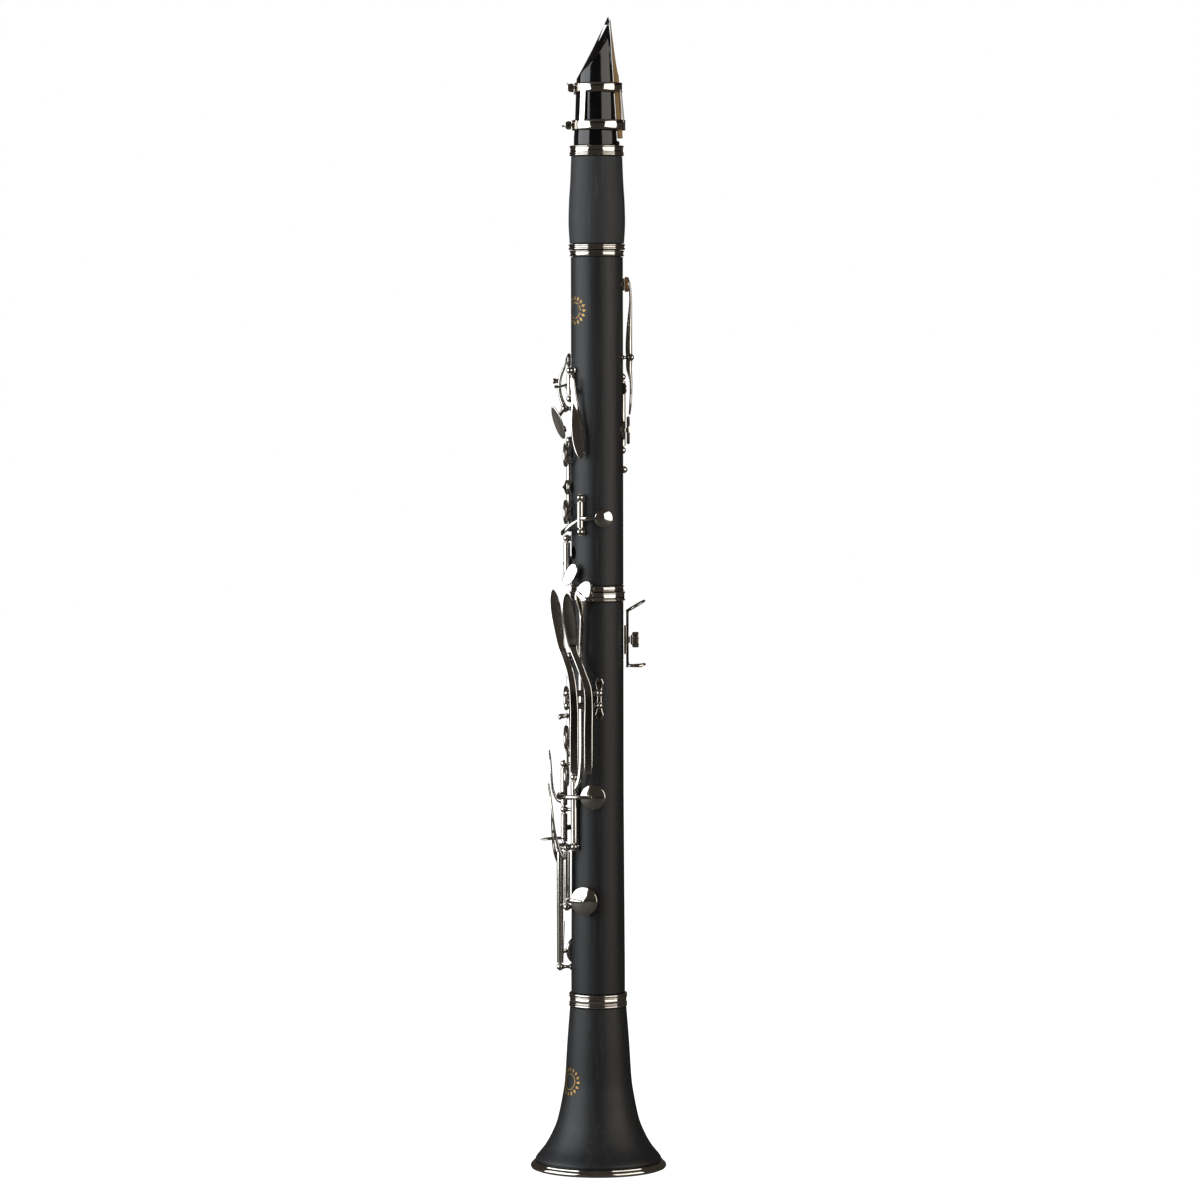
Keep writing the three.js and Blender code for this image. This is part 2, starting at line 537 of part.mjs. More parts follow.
// Levers of the left hand on the lower joint.
const leverY = -out(5);
const strapY = leverY - 3.4;
const leverPostX = -out(2.2);
[
  { name: "f_lever", z: 270.2, x: -13.6, low: 232,
    neck: [point(-out(5.6), -out(2.6), 303), point(-15.4, -out(8.4), 288)], touch: point(-out(8.7),
    -out(-0.6), 319.6), width: 6.2 },
  { name: "e_lever", z: 277.4, x: -5.4, low: 231,
    neck: [point(-13.6, -out(4.6), 302), point(-8.6, -out(8), 289)], touch: point(-15.4, -out(5.4),
    317.5), width: 7.2 },
].forEach(({ name, z, x, low, neck, touch, width }) => {
  const axis = [point(leverPostX, leverY, z), point(1, leverY, z)];
  key(name, ...axis, rod(point(x, leverY, z), point(x, strapY, z), armRadius),
    bar([...neck, point(x, strapY, z), point(x, strapY, (z + low) / 2), point(x, strapY + 0.6, low)]),
    plate(leaf(35, width), 1.6, touch, point(touch.x - neck[0].x, touch.y - neck[0].y, touch.z - neck[0].z),
      point(1, -0.3, 0)));
});
const leverHeights = [277.4, 270.2];
const leverFeet = [around(35, tubeRadius + 2 * gap, 0), around(94, tubeRadius + 2 * gap, 0)];
node("lever_pivots", join(...leverHeights.flatMap((z) => [leverPostX, 1].flatMap((x, side) => {
  const head = point(x, leverY, z);
  const foot = point(leverFeet[side].x, leverFeet[side].y, z);
  return [ball(head, ballRadius), rod(foot, head, postRadius, 6)];
})), ...leverHeights.map((z) => rod(point(leverPostX, leverY, z), point(1, leverY, z), rodRadius)),
  plate([[-12, -2.2], [-12, 2.2], [12, 2.2], [12, -2.2]], 0.8, point(1, -tubeRadius - 1, 273.8), point(0,
  0, 1),
    point(1, 0, 0))), nickel);
const fSharpLeverAxis = [around(40, out(2.9), 228.5), around(40, out(2.9), 187.6)];
pivot("f_sharp_lever_pivot", ...fSharpLeverAxis);
key("f_sharp_lever", ...fSharpLeverAxis,
  bar([around(40, out(3), 219.6), around(51, out(5.6), 221.6), around(59, out(5), 230), around(60,
  out(3.8), 246),
    around(59, out(3.6), 300),
    around(62, out(4), 326), around(64, out(4.6), 331)], armRadius, 8),
  plate(leaf(15, 10), 1.6, around(66, out(4.6), 334.6), point(0.4, 0, 0.9), tangent(64)));

// Right hand rings, and the sliver key on the far side.
const besideRing = (side, z) =>
  around(fingerHoles.right2[0] - asideAngle(side, out(3.3)), out(3.3), z);
const rightRingAxis = [around(-28, out(3.2), 297.5), around(-28, out(3.2), 240)];
pivot("right_ring_pivot", ...rightRingAxis);
key("right_ring_key", ...rightRingAxis,
  ...[fingerHoles.right1, fingerHoles.right2, fingerHoles.right3].map((hole) =>
    fingerRing(hole, ringOuter, ringHeightOver)),
  ringArm(-28, fingerHoles.right1), ringArm(-28, fingerHoles.right2),
  bar([besideRing(6.26, 247), besideRing(6.56, 240), besideRing(5.96, 232.5)], 1.1, 4),
  padCup(pads.rightRing, 4.2, lift + 1.4), bar(arc(-28, -14, out(3.2), pads.rightRing[1] - 1, out(3.8)),
  1.2, 3));
const rightSliverAxis = [around(-52, out(3.2), 275), around(-52, out(3.2), 246)];
pivot("right_sliver_pivot", ...rightSliverAxis);
key("right_sliver_key", ...rightSliverAxis, padCup(pads.rightSliver, 4.6, lift),
  bar(arc(-52, -74, out(3.2), 262), 1.1, 3), bar([around(-52, out(3.4), 262), around(-40, out(7.6), 262),
    around(-20, out(8), 262), around(-4, out(6.8), 262)], 1.1, 6));

// Little finger keys of the right hand and the four large pads.
const openCup = lift + 2.6; // underside of a pad that stands open
const eAxis = [point(-out(7), -2, 187), point(-out(7), -2, 117.2)];
key("e_key", ...eAxis, padCup(pads.e, 8.2, openCup),
  bar([point(-out(7), -2, pads.e[1]), around(-15, out(6.6), pads.e[1]), around(-32, out(6.4), pads.e[1]),
    around(-46, out(6.2), pads.e[1])]),
  bar([point(-out(7), -2, 178), point(-out(9), 6, 180), point(-out(10.6), 13, 185), point(-out(11), 14.6,
  190)]),
  plate(leaf(20, 9), 1.6, point(-out(11.4), 15, 196), point(0, 0.1, 1), point(0.4, 1, 0)));
const fAxis = [point(-out(3), -7, 187), point(-out(3), -7, 152.6)];
node("low_key_pivots", join(posts(...eAxis), posts(...fAxis), rod(eAxis[0], fAxis[0], postRadius, 6)),
  nickel);
key("f_key", ...fAxis, padCup(pads.f, 8.4, openCup),
  bar([point(-out(3), -7, pads.f[1] - 0.6), around(40, out(5.6), pads.f[1]), around(54, out(5.8), pads.f[1]),
    around(61, out(5.8), pads.f[1])]),
  bar([point(-out(3), -7, 181), point(-out(7), -9.5, 184), point(-out(9), -10.4, 192), point(-out(10.4),
  -10.6, 200)]),
  plate(leaf(30, 8), 1.6, point(-out(11.8), -10.6, 210), point(-0.12, 0, 1), point(0, 1, 0)));
const farX = -out(4.6);
const farY = 9;
const aFlatAxis = [point(farX, farY, 207.8), point(farX, farY, 186.6)];
key("a_flat_key", ...aFlatAxis, padCup(pads.aFlat, 7.6, lift),
  bar([point(farX, farY, 197), around(-40, out(5.4), 197), around(-55, out(4.4), 197), around(-67,
  out(3.6), 197)]),
  plate([[-2, -6], [-2, 3], [10, 4], [12, 0], [9, -5]], 1.6, point(-out(5.6), 6, 191.4), point(-1, 0, 0.06),
    point(0, 1, 0)));
const fSharpAxis = [point(farX, farY, 234.4), point(farX, farY, 207.8)];
pivot("far_pivot", fSharpAxis[0], fSharpAxis[1], aFlatAxis[1]);
key("f_sharp_key", ...fSharpAxis, padCup(pads.fSharp, 7.4, lift),
  bar([point(farX, farY, 216.5), around(-6, out(7.8), 216.5), around(20, out(7.6), 216.6), around(42,
  out(7), 216.8),
    around(60, out(5.4), 217), around(76, out(3.6), 217)], armRadius, 8),
  bar([point(farX, farY, 212), point(-out(9), 12, 214), point(-out(11), 13, 220)], 1.1, 5),
  plate(leaf(30, 8), 1.6, point(-out(12.2), 13.4, 227), point(-0.06, 0, 1), point(0, 1, 0)));

// Thumb rest: a screwed base, the plate that slides on it, its hook and its strap ring.
const restX = tubeRadius + gap;
const restZ = 307;
const restBase = { height: 16, width: 11, thickness: 1.4 };
const slideX = restX + restBase.thickness + gap;
const slide = { low: 291.7, high: 323.4, width: 9, thickness: 1.5 };
const block = (x0, x1, y, z0, z1) => prism([[x0, z0], [x1, z0], [x1, z1], [x0, z1]], 2 * y);
const screwReach = 5.4;
node("thumb_rest_base", join(
  block(restX, restX + restBase.thickness, restBase.width / 2, restZ - restBase.height / 2,
    restZ + restBase.height / 2),
  rod(point(restX + 0.4, 0, restZ), point(slideX + slide.thickness + gap, 0, restZ), 1.9)), nickel);
const slideMiddle = slideX + slide.thickness / 2;
const slotReach = 5;
node("thumb_rest_slide", cut(join(
  block(slideX, slideX + slide.thickness, slide.width / 2, slide.low, slide.high),
  plate([[-1, -5.5], [-1, 5.5], [6, 6.5], [10, 4], [10, -4], [6, -6.5]], 1.5, point(slideMiddle + 0.6, 0,
    slide.low + 0.6), point(1, 0, -0.05), point(0, 1, 0)),
  rod(point(slideMiddle + 4.4, 0, slide.high + 3.8), point(slideMiddle + 5.1, 0, slide.high + 2.6), 6.6,
  14)),
  rod(point(slideMiddle + 2.4, 0, slide.high + 7), point(slideMiddle + 7.1, 0, slide.high - 0.6), 4.4, 12),
  block(slideX - 1, slideX + slide.thickness + 1, 1.9 + gap, restZ - 1.9 - gap - slotReach,
    restZ + 1.9 + gap + slotReach)), nickel);
node("thumb_rest_screw", rod(point(slideX + slide.thickness + 2 * gap, 0, restZ),
  point(slideX + slide.thickness + screwReach, 0, restZ), 4.6, 18), nickel);

export default model;
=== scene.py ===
import json
import math

import bmesh
import bpy
from bpy.props import FloatProperty, FloatVectorProperty, IntProperty, PointerProperty
from mathutils import Matrix, Vector


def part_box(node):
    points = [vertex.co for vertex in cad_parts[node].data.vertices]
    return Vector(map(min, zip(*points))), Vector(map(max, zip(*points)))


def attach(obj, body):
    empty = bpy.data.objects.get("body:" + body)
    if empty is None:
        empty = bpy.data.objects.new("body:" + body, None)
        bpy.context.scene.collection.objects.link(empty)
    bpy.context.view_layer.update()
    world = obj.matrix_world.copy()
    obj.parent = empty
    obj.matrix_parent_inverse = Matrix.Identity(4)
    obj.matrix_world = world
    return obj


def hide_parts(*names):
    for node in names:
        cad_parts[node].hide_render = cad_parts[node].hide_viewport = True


bl_info = {
    "name": "Clarinet",
    "version": (1, 0, 0),
    "blender": (4, 5, 0),
    "location": "3D View > Sidebar > Clarinet",
    "description": "Builds the fine surface of a B flat clarinet around its packed frame",
    "category": "Object",
}

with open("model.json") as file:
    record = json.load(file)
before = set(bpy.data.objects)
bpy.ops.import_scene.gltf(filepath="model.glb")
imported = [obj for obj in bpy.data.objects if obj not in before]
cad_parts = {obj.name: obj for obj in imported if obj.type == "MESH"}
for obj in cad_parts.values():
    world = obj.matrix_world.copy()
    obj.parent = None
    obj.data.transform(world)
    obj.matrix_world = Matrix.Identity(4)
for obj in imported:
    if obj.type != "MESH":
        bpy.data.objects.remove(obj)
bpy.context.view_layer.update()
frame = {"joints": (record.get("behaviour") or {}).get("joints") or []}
JOINTS = {joint["name"]: joint for joint in frame["joints"]}
MM = 0.001


# ---------- places on the instrument ----------
def mm_box(node):
    """Lowest and highest corner of a node, in millimetres."""
    low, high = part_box(node)
    return low / MM, high / MM


def top_of(node):
    return mm_box(node)[1].z


def foot_of(node):
    return mm_box(node)[0].z


def radius_of(node):
    return mm_box(node)[1].x


def around(degrees, radius, z=0.0):
    """A point round the bore in millimetres: 0 is the front, 90 the near side, 180 the thumb side."""
    angle = math.radians(degrees)
    return Vector((-radius * math.cos(angle), -radius * math.sin(angle), z))


def outward(degrees):
    return around(degrees, 1.0)


def sideways(degrees):
    """Along the surface, towards larger angles."""
    return around(degrees + 90, 1.0)


def hinge_ends(pivot_node, joint_name, ball):
    """The middles of the two ball heads of a hinge, in millimetres."""
    joint = JOINTS[joint_name]
    middle = Vector(joint["pos_m"]) / MM
    axis = Vector(joint["axis"])
    low, high = mm_box(pivot_node)
    if abs(axis.z) > 0.5:
        return (Vector((middle.x, middle.y, high.z - ball)), Vector((middle.x, middle.y, low.z + ball)))
    reach = max(abs(axis.dot(low - middle)), abs(axis.dot(high - middle))) - ball
    return middle - axis * reach, middle + axis * reach


BODY_RADIUS = radius_of("upper_joint")
SWELL = radius_of("lower_joint")
BORE = 7.5


# ---------- meshes ----------
def finished(name, bm, material, body, nodes=(), sharp=40):
    """Turns millimetre mesh data into an object that rides on a body and stands for CAD nodes."""
    bmesh.ops.remove_doubles(bm, verts=bm.verts, dist=0.002)
    bmesh.ops.recalc_face_normals(bm, faces=bm.faces)
    bmesh.ops.scale(bm, vec=(MM, MM, MM), verts=bm.verts)
    mesh = bpy.data.meshes.new(name)
    bm.to_mesh(mesh)
    bm.free()
    piece = bpy.data.objects.new(name, mesh)
    bpy.context.scene.collection.objects.link(piece)
    mesh.shade_smooth()
    mesh.set_sharp_from_angle(angle=math.radians(sharp))
    mesh.materials.append(material)
    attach(piece, body)
    if nodes:
        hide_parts(*nodes)
    return piece


def frame_along(direction):
    """A matrix whose Z axis is the direction."""
    return direction.normalized().to_track_quat("Z", "Y").to_matrix().to_4x4()


def turn(bm, profile, steps, origin=Vector(), axis=Vector((0, 0, 1)), closed=False):
    """A turned shape from [radius, height] points; a closed profile comes back to its start."""
    place = Matrix.Translation(origin) @ frame_along(axis)
    rows = []
    for radius, height in profile:
        if radius < 1e-6:
            rows.append([bm.verts.new(place @ Vector((0, 0, height)))])
            continue
        rows.append([
            bm.verts.new(place @ Vector((radius * math.cos(a), radius * math.sin(a), height)))
            for a in (2 * math.pi * step / steps for step in range(steps))])
    pairs = list(zip(rows, rows[1:]))
    if closed:
        pairs.append((rows[-1], rows[0]))
    for lower, upper in pairs:
        for step in range(steps):
            after = (step + 1) % steps
            if len(lower) == 1 and len(upper) == 1:
                continue
            if len(lower) == 1:
                bm.faces.new((lower[0], upper[after], upper[step]))
            elif len(upper) == 1:
                bm.faces.new((lower[step], lower[after], upper[0]))
            else:
                bm.faces.new((lower[step], lower[after], upper[after], upper[step]))


def smooth_line(points, count):
    """Points along a Catmull-Rom line; each point is a tuple of numbers."""
    size = len(points)
    result = []
    for step in range(count + 1):
        place = step / count * (size - 1)
        index = min(int(place), size - 2)
        t = place - index
        p = [points[max(0, min(size - 1, index + k))] for k in (-1, 0, 1, 2)]
        result.append([
            0.5 * (2 * b + (c - a) * t + (2 * a - 5 * b + 4 * c - d) * t * t
                   + (3 * b - a - 3 * c + d) * t ** 3)
            for a, b, c, d in zip(*p)])
    return result


def loft(bm, stations, face, steps=24, sides=16, power=2.0, dish=0.0):
    """A bar or blade: stations are (point, half width, half thickness); face is the way that it faces."""
    rows_in = [(*Vector(point), wide, thick) for point, wide, thick in stations]
    line = smooth_line(rows_in, steps)
    centres = [Vector(row[:3]) for row in line]
    rows = []
    for index, row in enumerate(line):
        before = centres[max(0, index - 1)]
        after = centres[min(len(centres) - 1, index + 1)]
        along = (after - before).normalized()
        up = face(centres[index]) if callable(face) else face
        across = along.cross(up).normalized()
        normal = across.cross(along).normalized()
        wide, thick = max(row[3], 0.05), max(row[4], 0.05)
        ring = []
        for side in range(sides):
            a = 2 * math.pi * side / sides
            c, s = math.cos(a), math.sin(a)
            u = math.copysign(abs(c) ** (2 / power), c)
            v = math.copysign(abs(s) ** (2 / power), s)
            sink = dish * wide * (1 - u * u) if v > 0 else 0.0
            ring.append(bm.verts.new(centres[index] + across * (wide * u) + normal * (thick * v - sink)))
        rows.append(ring)
    for lower, upper in zip(rows, rows[1:]):
        for side in range(sides):
            after = (side + 1) % sides
            bm.faces.new((lower[side], lower[after], upper[after], upper[side]))
    bm.faces.new(list(reversed(rows[0])))
    bm.faces.new(rows[-1])


def radial(point):
    return Vector((point.x, point.y, 0)).normalized()


def arm(bm, points, wide=1.3, thick=1.1, face=radial, steps=20, power=2.4):
    loft(bm, [(point, wide, thick) for point in points], face, steps, 12, power)


def tube(bm, start, end, radius, steps=20, edge=0.25):
    """A hinge tube with softened ends."""
    length = (end - start).length
    turn(bm, [(0, 0), (radius - edge, 0), (radius, edge), (radius, length - edge), (radius - edge, length),
              (0, length)], steps, start, end - start)


def ball_post(bm, head, foot, ball, shaft=1.0, steps=20):
    """A turned post: a foot flange, a waist and a ball head."""
    direction = head - foot
    length = direction.length
    profile = [(0, 0), (shaft * 1.9, 0), (shaft * 1.9, 0.35), (shaft * 1.15, 0.8), (shaft * 0.9,
        length * 0.45),
               (shaft * 1.2, length - ball)]
    start = math.asin(min(1.0, shaft * 1.2 / ball))
    for step in range(1, 10):
        angle = start + (math.pi - start) * step / 9
        profile.append((max(0.0, ball * math.sin(angle)), length - ball * math.cos(angle)))
    profile[-1] = (0, length + ball)
    turn(bm, profile, steps, foot, direction)


def screw_head(bm, centre, direction, radius, height=0.6, steps=20):
    """A screw head: a thin turned disc with a small round hollow in the middle of its top."""
    turn(bm, [(0, 0), (radius, 0), (radius, height * 0.6), (radius * 0.86, height), (radius * 0.2, height),
              (radius * 0.16, height * 0.4), (0, height * 0.4)], steps, centre, direction)


def cup(bm, centre, direction, radius, depth=3.0, steps=40, point_up=0.0):
    """A pad cup: a rolled rim, a shallow cone and a small tip."""
    cone = depth * 0.42
    turn(bm, [(0, 0.5), (radius - 0.9, 0.5), (radius - 0.7, 0), (radius - 0.15, 0.05), (radius, 0.3),
              (radius, depth * 0.38), (radius - 0.12, depth * 0.46), (radius - 0.4, depth * 0.52),
              (radius * 0.5, depth * 0.52 + cone * 0.55), (0.5, depth * 0.52 + cone),
              (0, depth * 0.55 + cone + point_up)], steps, centre, direction)


def pad(bm, centre, direction, radius, depth=1.2, steps=32):
    """The skin pad that stands a little out of its cup."""
    turn(bm, [(0, -0.2), (radius * 0.6, -0.25), (radius * 0.72, -0.05), (radius * 0.8, -0.25),
              (radius - 0.2, -0.2), (radius, 0.1), (radius, depth), (0, depth)], steps, centre, direction)


def finger_ring(bm, centre, direction, outer, inner, thick=1.7, steps=56):
    """A finger ring: dished in at its upper edge."""
    middle = (outer + inner) / 2
    turn(bm, [(inner + 0.35, 0), (outer - 0.3, 0), (outer, 0.3), (outer, thick * 0.7), (outer - 0.25,
        thick * 0.95),
              (middle + 0.1, thick), (inner + 0.3, thick * 0.8), (inner, thick * 0.45), (inner + 0.05,
                  0.25)],
         steps, centre, direction, closed=True)


# ---------- settings that a user would change ----------
def colour(name, value, description):
    return FloatVectorProperty(name=name, description=description, subtype="COLOR", size=3, min=0, max=1,
                               default=value)


class ClarinetSizes(bpy.types.PropertyGroup):
    """Sizes of the keywork in millimetres"""
    body_steps: IntProperty(name="Body steps", description="Sides of the turned wooden pieces", default=112)
    ball: FloatProperty(name="Ball head", description="Radius of the ball heads, mm", default=2.1)
    hinge: FloatProperty(name="Hinge tube", description="Radius of the hinge tubes, mm", default=1.9)
    arm: FloatProperty(name="Key arm", description="Half width of a key arm, mm", default=1.3)
    ring_thickness: FloatProperty(name="Finger ring", description="Thickness of a finger ring, mm",
        default=1.8)
    pad_depth: FloatProperty(name="Pad depth", description="How far a pad reaches into its cup, mm",
                             default=1.3)


class ClarinetColours(bpy.types.PropertyGroup):
    """Colours of the finishes"""
    ebony: colour("Ebony", (0.0105, 0.0108, 0.0118), "Oiled blackwood of the joints and the bell")
    ebony_pores: colour("Ebony pores", (0.032, 0.033, 0.036), "Paler streaks in the blackwood")
    barrel: colour("Barrel", (0.030, 0.031, 0.034), "Greyer blackwood of the barrel")
    barrel_pores: colour("Barrel pores", (0.062, 0.064, 0.069), "Paler streaks in the barrel")
    rubber: colour("Hard rubber", (0.0022, 0.0022, 0.0026), "Mouthpiece")
    nickel: colour("Nickel", (0.76, 0.725, 0.68), "Keys, posts and rings")
    nickel_dull: colour("Worn nickel", (0.60, 0.56, 0.50), "Nickel where fingers have dulled it")
    cane: colour("Cane", (0.60, 0.40, 0.19), "Reed")
    cane_fibres: colour("Cane fibres", (0.42, 0.25, 0.10), "Darker fibres of the reed")
    cork: colour("Cork", (0.47, 0.24, 0.10), "Tenon corks and bumpers")
    cork_specks: colour("Cork specks", (0.15, 0.06, 0.025), "Dark specks in the cork")
    pad: colour("Pad", (0.74, 0.70, 0.60), "Skin of the pads")
    gold: colour("Gold leaf", (0.50, 0.31, 0.10), "Ornaments on the bell and the upper joint")
    floor: colour("Floor", (0.86, 0.86, 0.86), "Studio floor")


class ClarinetLight(bpy.types.PropertyGroup):
    """Studio lights and camera"""
    left_power: FloatProperty(name="Left light", description="Power of the tall light on the left, W",
                              default=26)
    right_power: FloatProperty(name="Right light", description="Power of the tall light on the right, W",
                               default=13)
    distance: FloatProperty(name="Camera distance", description="From the camera to the bore, m",
        default=2.75)
    height: FloatProperty(name="Camera height", description="Of the level camera over the floor, m",
                          default=0.47)
    frame_width: FloatProperty(name="View width", description="What the picture spans at the bore, m",
                               default=0.6936)


def sizes():
    return bpy.context.scene.clarinet_sizes


def colours():
    return bpy.context.scene.clarinet_colours


# ---------- effects that several finishes share ----------
def new_group(name, inputs, outputs):
    """An empty shader node group with float sockets."""
    group = bpy.data.node_groups.new(name, "ShaderNodeTree")
    for socket, value in inputs:
        group.interface.new_socket(socket, in_out="INPUT",
            socket_type="NodeSocketFloat").default_value = value
    for socket in outputs:
        group.interface.new_socket(socket, in_out="OUTPUT", socket_type="NodeSocketFloat")
    return group, group.nodes.new("NodeGroupInput"), group.nodes.new("NodeGroupOutput")


def ramp(tree, source, low, high):
    """Spreads a mask between two levels over 0 to 1."""
    node = tree.nodes.new("ShaderNodeMapRange")
    node.inputs["From Min"].default_value = low
    node.inputs["From Max"].default_value = high
    tree.links.new(source, node.inputs["Value"])
    return node.outputs["Result"]


def maths(tree, operation, first, second):
    node = tree.nodes.new("ShaderNodeMath")
    node.operation = operation
    for socket, value in zip(node.inputs, (first, second)):
        if isinstance(value, (int, float)):
            socket.default_value = value
        else:
            tree.links.new(value, socket)
    return node.outputs["Value"]


def lengthwise_grain():
    """Streaks and pores that run up the bore, as in a turned billet."""
    name = "lengthwise_grain"
    if name in bpy.data.node_groups:
        return bpy.data.node_groups[name]
    group, start, end = new_group(name, [("Scale", 900.0), ("Stretch", 0.04), ("Pore Level", 0.62)],
                                  ["Streaks", "Pores", "Height"])
    place = group.nodes.new("ShaderNodeTexCoord")
    squeeze = group.nodes.new("ShaderNodeVectorMath")
    squeeze.operation = "MULTIPLY"
    vector = group.nodes.new("ShaderNodeCombineXYZ")
    vector.inputs["X"].default_value = 1
    vector.inputs["Y"].default_value = 1
    group.links.new(start.outputs["Stretch"], vector.inputs["Z"])
    group.links.new(place.outputs["Object"], squeeze.inputs[0])
    group.links.new(vector.outputs["Vector"], squeeze.inputs[1])

    def noise(scale_share, detail):
        node = group.nodes.new("ShaderNodeTexNoise")
        node.inputs["Detail"].default_value = detail
        node.inputs["Roughness"].default_value = 0.6
        group.links.new(squeeze.outputs["Vector"], node.inputs["Vector"])
        group.links.new(maths(group, "MULTIPLY", start.outputs["Scale"], scale_share), node.inputs["Scale"])
        return node.outputs["Fac"]
    broad = ramp(group, noise(0.25, 3), 0.36, 0.66)
    fine = noise(1.0, 5)
    over = maths(group, "SUBTRACT", fine, start.outputs["Pore Level"])
    pores = maths(group, "MULTIPLY", maths(group, "MAXIMUM", over, 0.0), 9.0)
    group.links.new(maths(group, "MULTIPLY_ADD", broad, 0.6), end.inputs["Streaks"])
    group.links.new(maths(group, "MINIMUM", pores, 1.0), end.inputs["Pores"])
    group.links.new(maths(group, "SUBTRACT", fine, pores), end.inputs["Height"])
    return group


def handling_marks():
    """Soft smudges and hairline scratches from fingers and cloths."""
    name = "handling_marks"
    if name in bpy.data.node_groups:
        return bpy.data.node_groups[name]
    group, start, end = new_group(name, [("Smudge Scale", 160.0), ("Scratch Scale", 1500.0)],
                                  ["Smudge", "Scratches", "Height"])
    place = group.nodes.new("ShaderNodeTexCoord")
    smudge = group.nodes.new("ShaderNodeTexNoise")
    smudge.inputs["Detail"].default_value = 4
    hairs = group.nodes.new("ShaderNodeTexNoise")
    hairs.inputs["Detail"].default_value = 2
    hairs.inputs["Distortion"].default_value = 1.2
    for node, socket in ((smudge, "Smudge Scale"), (hairs, "Scratch Scale")):
        group.links.new(place.outputs["Object"], node.inputs["Vector"])
        group.links.new(start.outputs[socket], node.inputs["Scale"])
    group.links.new(ramp(group, smudge.outputs["Fac"], 0.38, 0.72), end.inputs["Smudge"])
    group.links.new(ramp(group, hairs.outputs["Fac"], 0.55, 0.75), end.inputs["Scratches"])
    group.links.new(hairs.outputs["Fac"], end.inputs["Height"])
    return group


# ---------- finishes ----------
def material_base(name):
    """A material with its shader, ready for the nodes of one finish."""
    material = bpy.data.materials.new(name)
    material.use_nodes = True
    return material, material.node_tree, material.node_tree.nodes["Principled BSDF"]


def place_group(tree, group, **values):
    node = tree.nodes.new("ShaderNodeGroup")
    node.node_tree = group
    for socket, value in values.items():
        node.inputs[socket.replace("_", " ")].default_value = value
    return node


def blend_colour(tree, mask, first, second):
    node = tree.nodes.new("ShaderNodeMix")
    node.data_type = "RGBA"
    node.inputs["A"].default_value = (*first, 1)
    node.inputs["B"].default_value = (*second, 1)
    tree.links.new(mask, node.inputs["Factor"])
    return node.outputs["Result"]


def roughness_between(tree, shader, mask, low, high):
    node = tree.nodes.new("ShaderNodeMapRange")
    node.inputs["To Min"].default_value = low
    node.inputs["To Max"].default_value = high
    tree.links.new(mask, node.inputs["Value"])
    tree.links.new(node.outputs["Result"], shader.inputs["Roughness"])


def bump(tree, shader, height, depth, strength):
    node = tree.nodes.new("ShaderNodeBump")
    node.inputs["Distance"].default_value = depth
    node.inputs["Strength"].default_value = strength
    tree.links.new(height, node.inputs["Height"])
    tree.links.new(node.outputs["Normal"], shader.inputs["Normal"])


def grained(name, dark, light, rough, scale, stretch, pore_level, depth):
    """A wood-like finish: streaks between two tones, pores and a fine relief."""
    material, tree, shader = material_base(name)
    grain = place_group(tree, lengthwise_grain(), Scale=scale, Stretch=stretch, Pore_Level=pore_level)
    mask = maths(tree, "ADD", maths(tree, "MULTIPLY", grain.outputs["Streaks"], 0.45),
        grain.outputs["Pores"])
    tree.links.new(blend_colour(tree, maths(tree, "MINIMUM", mask, 1.0), dark, light),
                   shader.inputs["Base Color"])
    roughness_between(tree, shader, grain.outputs["Streaks"], *rough)
    bump(tree, shader, grain.outputs["Height"], depth, 0.5)
    return material


def make_ebony():
    c = colours()
    return grained("ebony_oiled", c.ebony, c.ebony_pores, (0.38, 0.5), 1100, 0.03, 0.6, 0.0001)


def make_barrel():
    c = colours()
    return grained("barrel_wood_matte", c.barrel, c.barrel_pores, (0.5, 0.62), 1000, 0.03, 0.58, 0.00012)


def make_cane():
    c = colours()
    return grained("reed_cane", c.cane, c.cane_fibres, (0.45, 0.6), 2400, 0.02, 0.56, 0.00004)


def make_cork():
    c = colours()
    return grained("cork_sheet", c.cork, c.cork_specks, (0.75, 0.9), 1300, 0.8, 0.56, 0.0002)


def make_pad():
    c = colours()
    material, tree, shader = material_base("pad_skin")
    marks = place_group(tree, handling_marks(), Smudge_Scale=700.0, Scratch_Scale=2600.0)
    shade = [value * 0.8 for value in c.pad]
    tree.links.new(blend_colour(tree, marks.outputs["Smudge"], c.pad, shade), shader.inputs["Base Color"])
    roughness_between(tree, shader, marks.outputs["Scratches"], 0.5, 0.65)
    bump(tree, shader, marks.outputs["Height"], 0.00005, 0.4)
    return material


def polished(name, bright, dull, rough, metallic, scratch_scale, coat=0.0):
    """A polished finish with handling marks."""
    material, tree, shader = material_base(name)
    shader.inputs["Metallic"].default_value = metallic
    shader.inputs["Coat Weight"].default_value = coat
    shader.inputs["Coat Roughness"].default_value = 0.04
    marks = place_group(tree, handling_marks(), Smudge_Scale=150.0, Scratch_Scale=scratch_scale)
    tree.links.new(blend_colour(tree, marks.outputs["Smudge"], bright, dull), shader.inputs["Base Color"])
    both = maths(tree, "ADD", maths(tree, "MULTIPLY", marks.outputs["Smudge"], 0.7),
                 maths(tree, "MULTIPLY", marks.outputs["Scratches"], 0.3))
    roughness_between(tree, shader, both, *rough)
    bump(tree, shader, marks.outputs["Height"], 0.00001, 0.25)
    return material


def make_nickel():
    c = colours()
    return polished("nickel_plate", c.nickel, c.nickel_dull, (0.06, 0.15), 1.0, 1800.0)


def make_rubber():
    c = colours()
    return polished("hard_rubber", c.rubber, [value * 2.4 for value in c.rubber], (0.1, 0.2), 0.0, 1400.0,
        0.4)


def make_gold():
    c = colours()
    return polished("gold_leaf", c.gold, [value * 0.7 for value in c.gold], (0.35, 0.5), 0.7, 2400.0)


